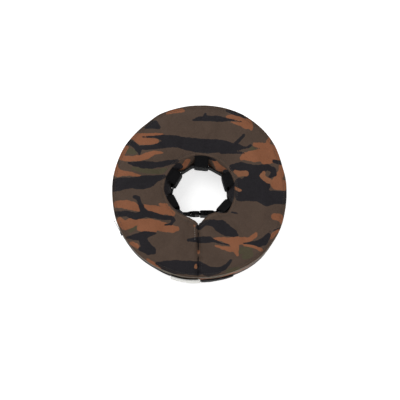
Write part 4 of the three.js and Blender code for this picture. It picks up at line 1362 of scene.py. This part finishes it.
def make_closure():
    """The tab that holds the slit shut: sewn down on the left, with a flap that grips the right side."""
    low, high = TAB_Z
    inner_z = (low + 1.5, high - 1.5)
    flap_span, hook_span = (TAB_FOLD + 0.15, TAB_TO), (TAB_FOLD + 2, TAB_TO - 1.2)
    piece = wall_patch("closure_tab_base_webbing", (TAB_FROM, TAB_FOLD), TAB_Z, *BASE_LAYER, WEBBING)
    follow(piece, "left", "black_webbing", "closure_tab_base")
    piece = wall_patch("closure_tab_flap_webbing", flap_span, TAB_Z, *FLAP_LAYER, WEBBING, rounded_tip)
    follow(piece, "closure_flap", "black_webbing", "closure_tab_flap")
    piece = wall_patch("closure_hook_strip_pile", hook_span, inner_z, *HOOK_LAYER, HOOKS, rounded_tip)
    follow(piece, "closure_flap", "hook_and_loop", "closure_hook_strip")
    loop_span = (TAB_FOLD + 1.5, TAB_TO + 1)
    piece = wall_patch("closure_loop_patch_pile", loop_span, inner_z, *LOOP_LAYER, HOOKS)
    follow(piece, "right", "hook_and_loop", "closure_loop_patch")
    low, high = low + 2.2, high - 2.2
    first, last = TAB_FROM + 1, TAB_FOLD - 1
    box = ((first, low), (first, high), (last, high), (last, low), (first, low))
    follow(wall_stitches("closure_base_stitches", box, 2.8, THREAD), "left", "black_webbing")
    first, bend, last = TAB_FOLD + 1.2, TAB_TO - 3, TAB_TO - 1.4
    line = ((first, high), (bend, high), (last, high - 4), (last, low + 4), (bend, low), (first, low))
    follow(wall_stitches("closure_flap_stitches", line, 2.95, THREAD), "closure_flap", "black_webbing")


def make_label():
    """A blank white label, sewn along its top edge and hanging away from the wall at its foot."""
    piece = wall_patch("blank_label_cloth", LABEL_SPAN, LABEL_Z, *LABEL_LAYER, LABEL, flare=LABEL_FLARE)
    follow(piece, "left", "label_cloth", "blank_label")
    for z in (LABEL_Z[1] - 1.6, LABEL_Z[1] - 3.4):
        row = wall_stitches(f"label_stitches_{round(z)}", ((252, z), (270, z)), 3.6, THREAD, 2.0, 0.2)
        follow(row, "left", "label_cloth")


END_PATCH_Y, END_PATCH_Z = -143.5, 14.0  # a lower corner of both patches
END_PATCH_WIDTH, END_PATCH_HEIGHT, END_PATCH_PILE = 67.0, 50.0, 1.1


def make_end_patches():
    """Loop pile on the slit's left end and hook pile on its right end, which meet when it is shut."""
    for name, side, x, sense in (
        ("end_loop_patch_left", "left", LEFT_END_X + 0.1, 1),
        ("end_hook_patch_right", "right", RIGHT_END_X - 0.1, -1),
    ):
        def point_at(u, v, d, x=x, sense=sense):
            return np.array((x + sense * d, END_PATCH_Y + u, END_PATCH_Z + v))

        size = (END_PATCH_WIDTH, END_PATCH_HEIGHT, END_PATCH_PILE)
        piece = slab(f"{name}_pile", point_at, *size, HOOKS)
        follow(piece, side, "hook_and_loop", name)


make_seam_stitches()
make_slit_edges()
make_zip()
make_closure()
make_label()
make_end_patches()


# ---------------------------------------------------------------- hard pieces, from their CAD shapes
# Each piece's CAD node, body, material, slot, and the width of its rounded edges in millimetres.
HARD_PIECES = (
    ("buckle_female", "collar_right", PLASTIC, "black_plastic", 0.45),
    ("buckle_male", "collar_left", PLASTIC, "black_plastic", 0.35),
    ("release_prong_front", "prong_front", PLASTIC, "black_plastic", 0.4),
    ("release_prong_back", "prong_back", PLASTIC, "black_plastic", 0.4),
    ("zip_slider", "slider", METAL, "gunmetal", 0.25),
    ("zip_pull", "pull", METAL, "gunmetal", 0.18),
    ("zip_end_stop", "collar_left", METAL, "gunmetal", 0.2),
    ("valve_port_eyelet", "collar_left", METAL, "gunmetal", 0.2),
    ("valve_flange", "collar_left", VINYL, "vinyl", 0.2),
    ("valve_stem", "collar_left", VINYL, "vinyl", 0.25),
    ("valve_plug", "plug", VINYL, "vinyl", 0.3),
)
FLAT_WITHIN, SHARP_BEYOND = 2, 28  # degrees: facets that are merged, and edges that are rounded


def refined(node, body, material, slot, bevel):
    """A copy of a CAD node's mesh with rounded edges, which stands in its place."""
    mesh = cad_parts[node].data.copy()
    mesh.name = f"{node}_rounded"
    mesh.materials.clear()
    mesh.materials.append(material)
    piece = bpy.data.objects.new(f"{node}_rounded", mesh)
    bpy.context.scene.collection.objects.link(piece)
    work = bmesh.new()
    work.from_mesh(mesh)
    bmesh.ops.remove_doubles(work, verts=work.verts, dist=1e-5)
    flat = math.radians(FLAT_WITHIN)
    bmesh.ops.dissolve_limit(work, angle_limit=flat, verts=work.verts, edges=work.edges)
    work.to_mesh(mesh)
    work.free()
    modifier = piece.modifiers.new("round", "BEVEL")
    modifier.width = bevel * MM
    modifier.segments = 3
    modifier.limit_method = "ANGLE"
    modifier.angle_limit = math.radians(SHARP_BEYOND)
    modifier.harden_normals = False
    mesh.polygons.foreach_set("use_smooth", [True] * len(mesh.polygons))
    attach(piece, body)
    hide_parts(node)


for row in HARD_PIECES:
    refined(*row)


# ---------------------------------------------------------------- camera, floor and light
CAMERA_ELEVATION = math.radians(78.8)
CAMERA_TARGET = Vector((0.0013, -0.0180, 0.0694))
CAMERA_DISTANCE, LENS, SENSOR = 1.6, 80, 36
FLOOR_GLOW, WORLD_GLOW = 0.62, 0.45
WHITE = (1, 1, 1, 1)
# Each light's place in metres, its size and its power.
LIGHTS = {
    "key": ((-0.9, 0.9, 1.9), 1.5, 22),
    "fill": ((1.4, -0.6, 1.5), 1.8, 9),
    "front": ((-0.3, -1.8, 1.2), 1.6, 8),
}


def make_camera():
    """A camera nearly above the ring, as in the photo."""
    camera = bpy.data.objects.new("camera", bpy.data.cameras.new("camera"))
    camera.data.lens = LENS
    camera.data.sensor_width = SENSOR
    way = Vector((0, -math.cos(CAMERA_ELEVATION), math.sin(CAMERA_ELEVATION)))
    camera.location = CAMERA_TARGET + way * CAMERA_DISTANCE
    camera.rotation_euler = (-way).to_track_quat("-Z", "Y").to_euler()
    bpy.context.scene.collection.objects.link(camera)
    bpy.context.scene.camera = camera


def make_studio():
    """A pale floor that glows a little, an even white world, and three large soft lights."""
    bpy.ops.mesh.primitive_plane_add(size=12, location=(0, 0, -0.0002))
    floor = bpy.context.object
    floor.name = "studio_floor"
    look = Look("pale_floor", roughness=0.9)
    look.shader.inputs["Emission Color"].default_value = WHITE
    look.shader.inputs["Emission Strength"].default_value = FLOOR_GLOW
    place = look.node("TexCoord").outputs["Object"]
    look.set("Base Color", look.mix(look.noise(place, 6.0), (0.93, 0.93, 0.93), (0.96, 0.96, 0.955)))
    floor.data.materials.append(look.material)
    world = bpy.data.worlds.new("studio")
    world.use_nodes = True
    background = world.node_tree.nodes["Background"]
    background.inputs["Color"].default_value = WHITE
    background.inputs["Strength"].default_value = WORLD_GLOW
    bpy.context.scene.world = world
    for name, (place, size, power) in LIGHTS.items():
        light = bpy.data.objects.new(f"{name}_light", bpy.data.lights.new(name, "AREA"))
        light.data.size = size
        light.data.energy = power
        light.location = place
        light.rotation_euler = (Vector((0, 0, 0.04)) - Vector(place)).to_track_quat("-Z", "Y").to_euler()
        bpy.context.scene.collection.objects.link(light)
    bpy.context.scene.view_settings.view_transform = "Standard"


make_camera()
make_studio()

bpy.context.view_layer.update()
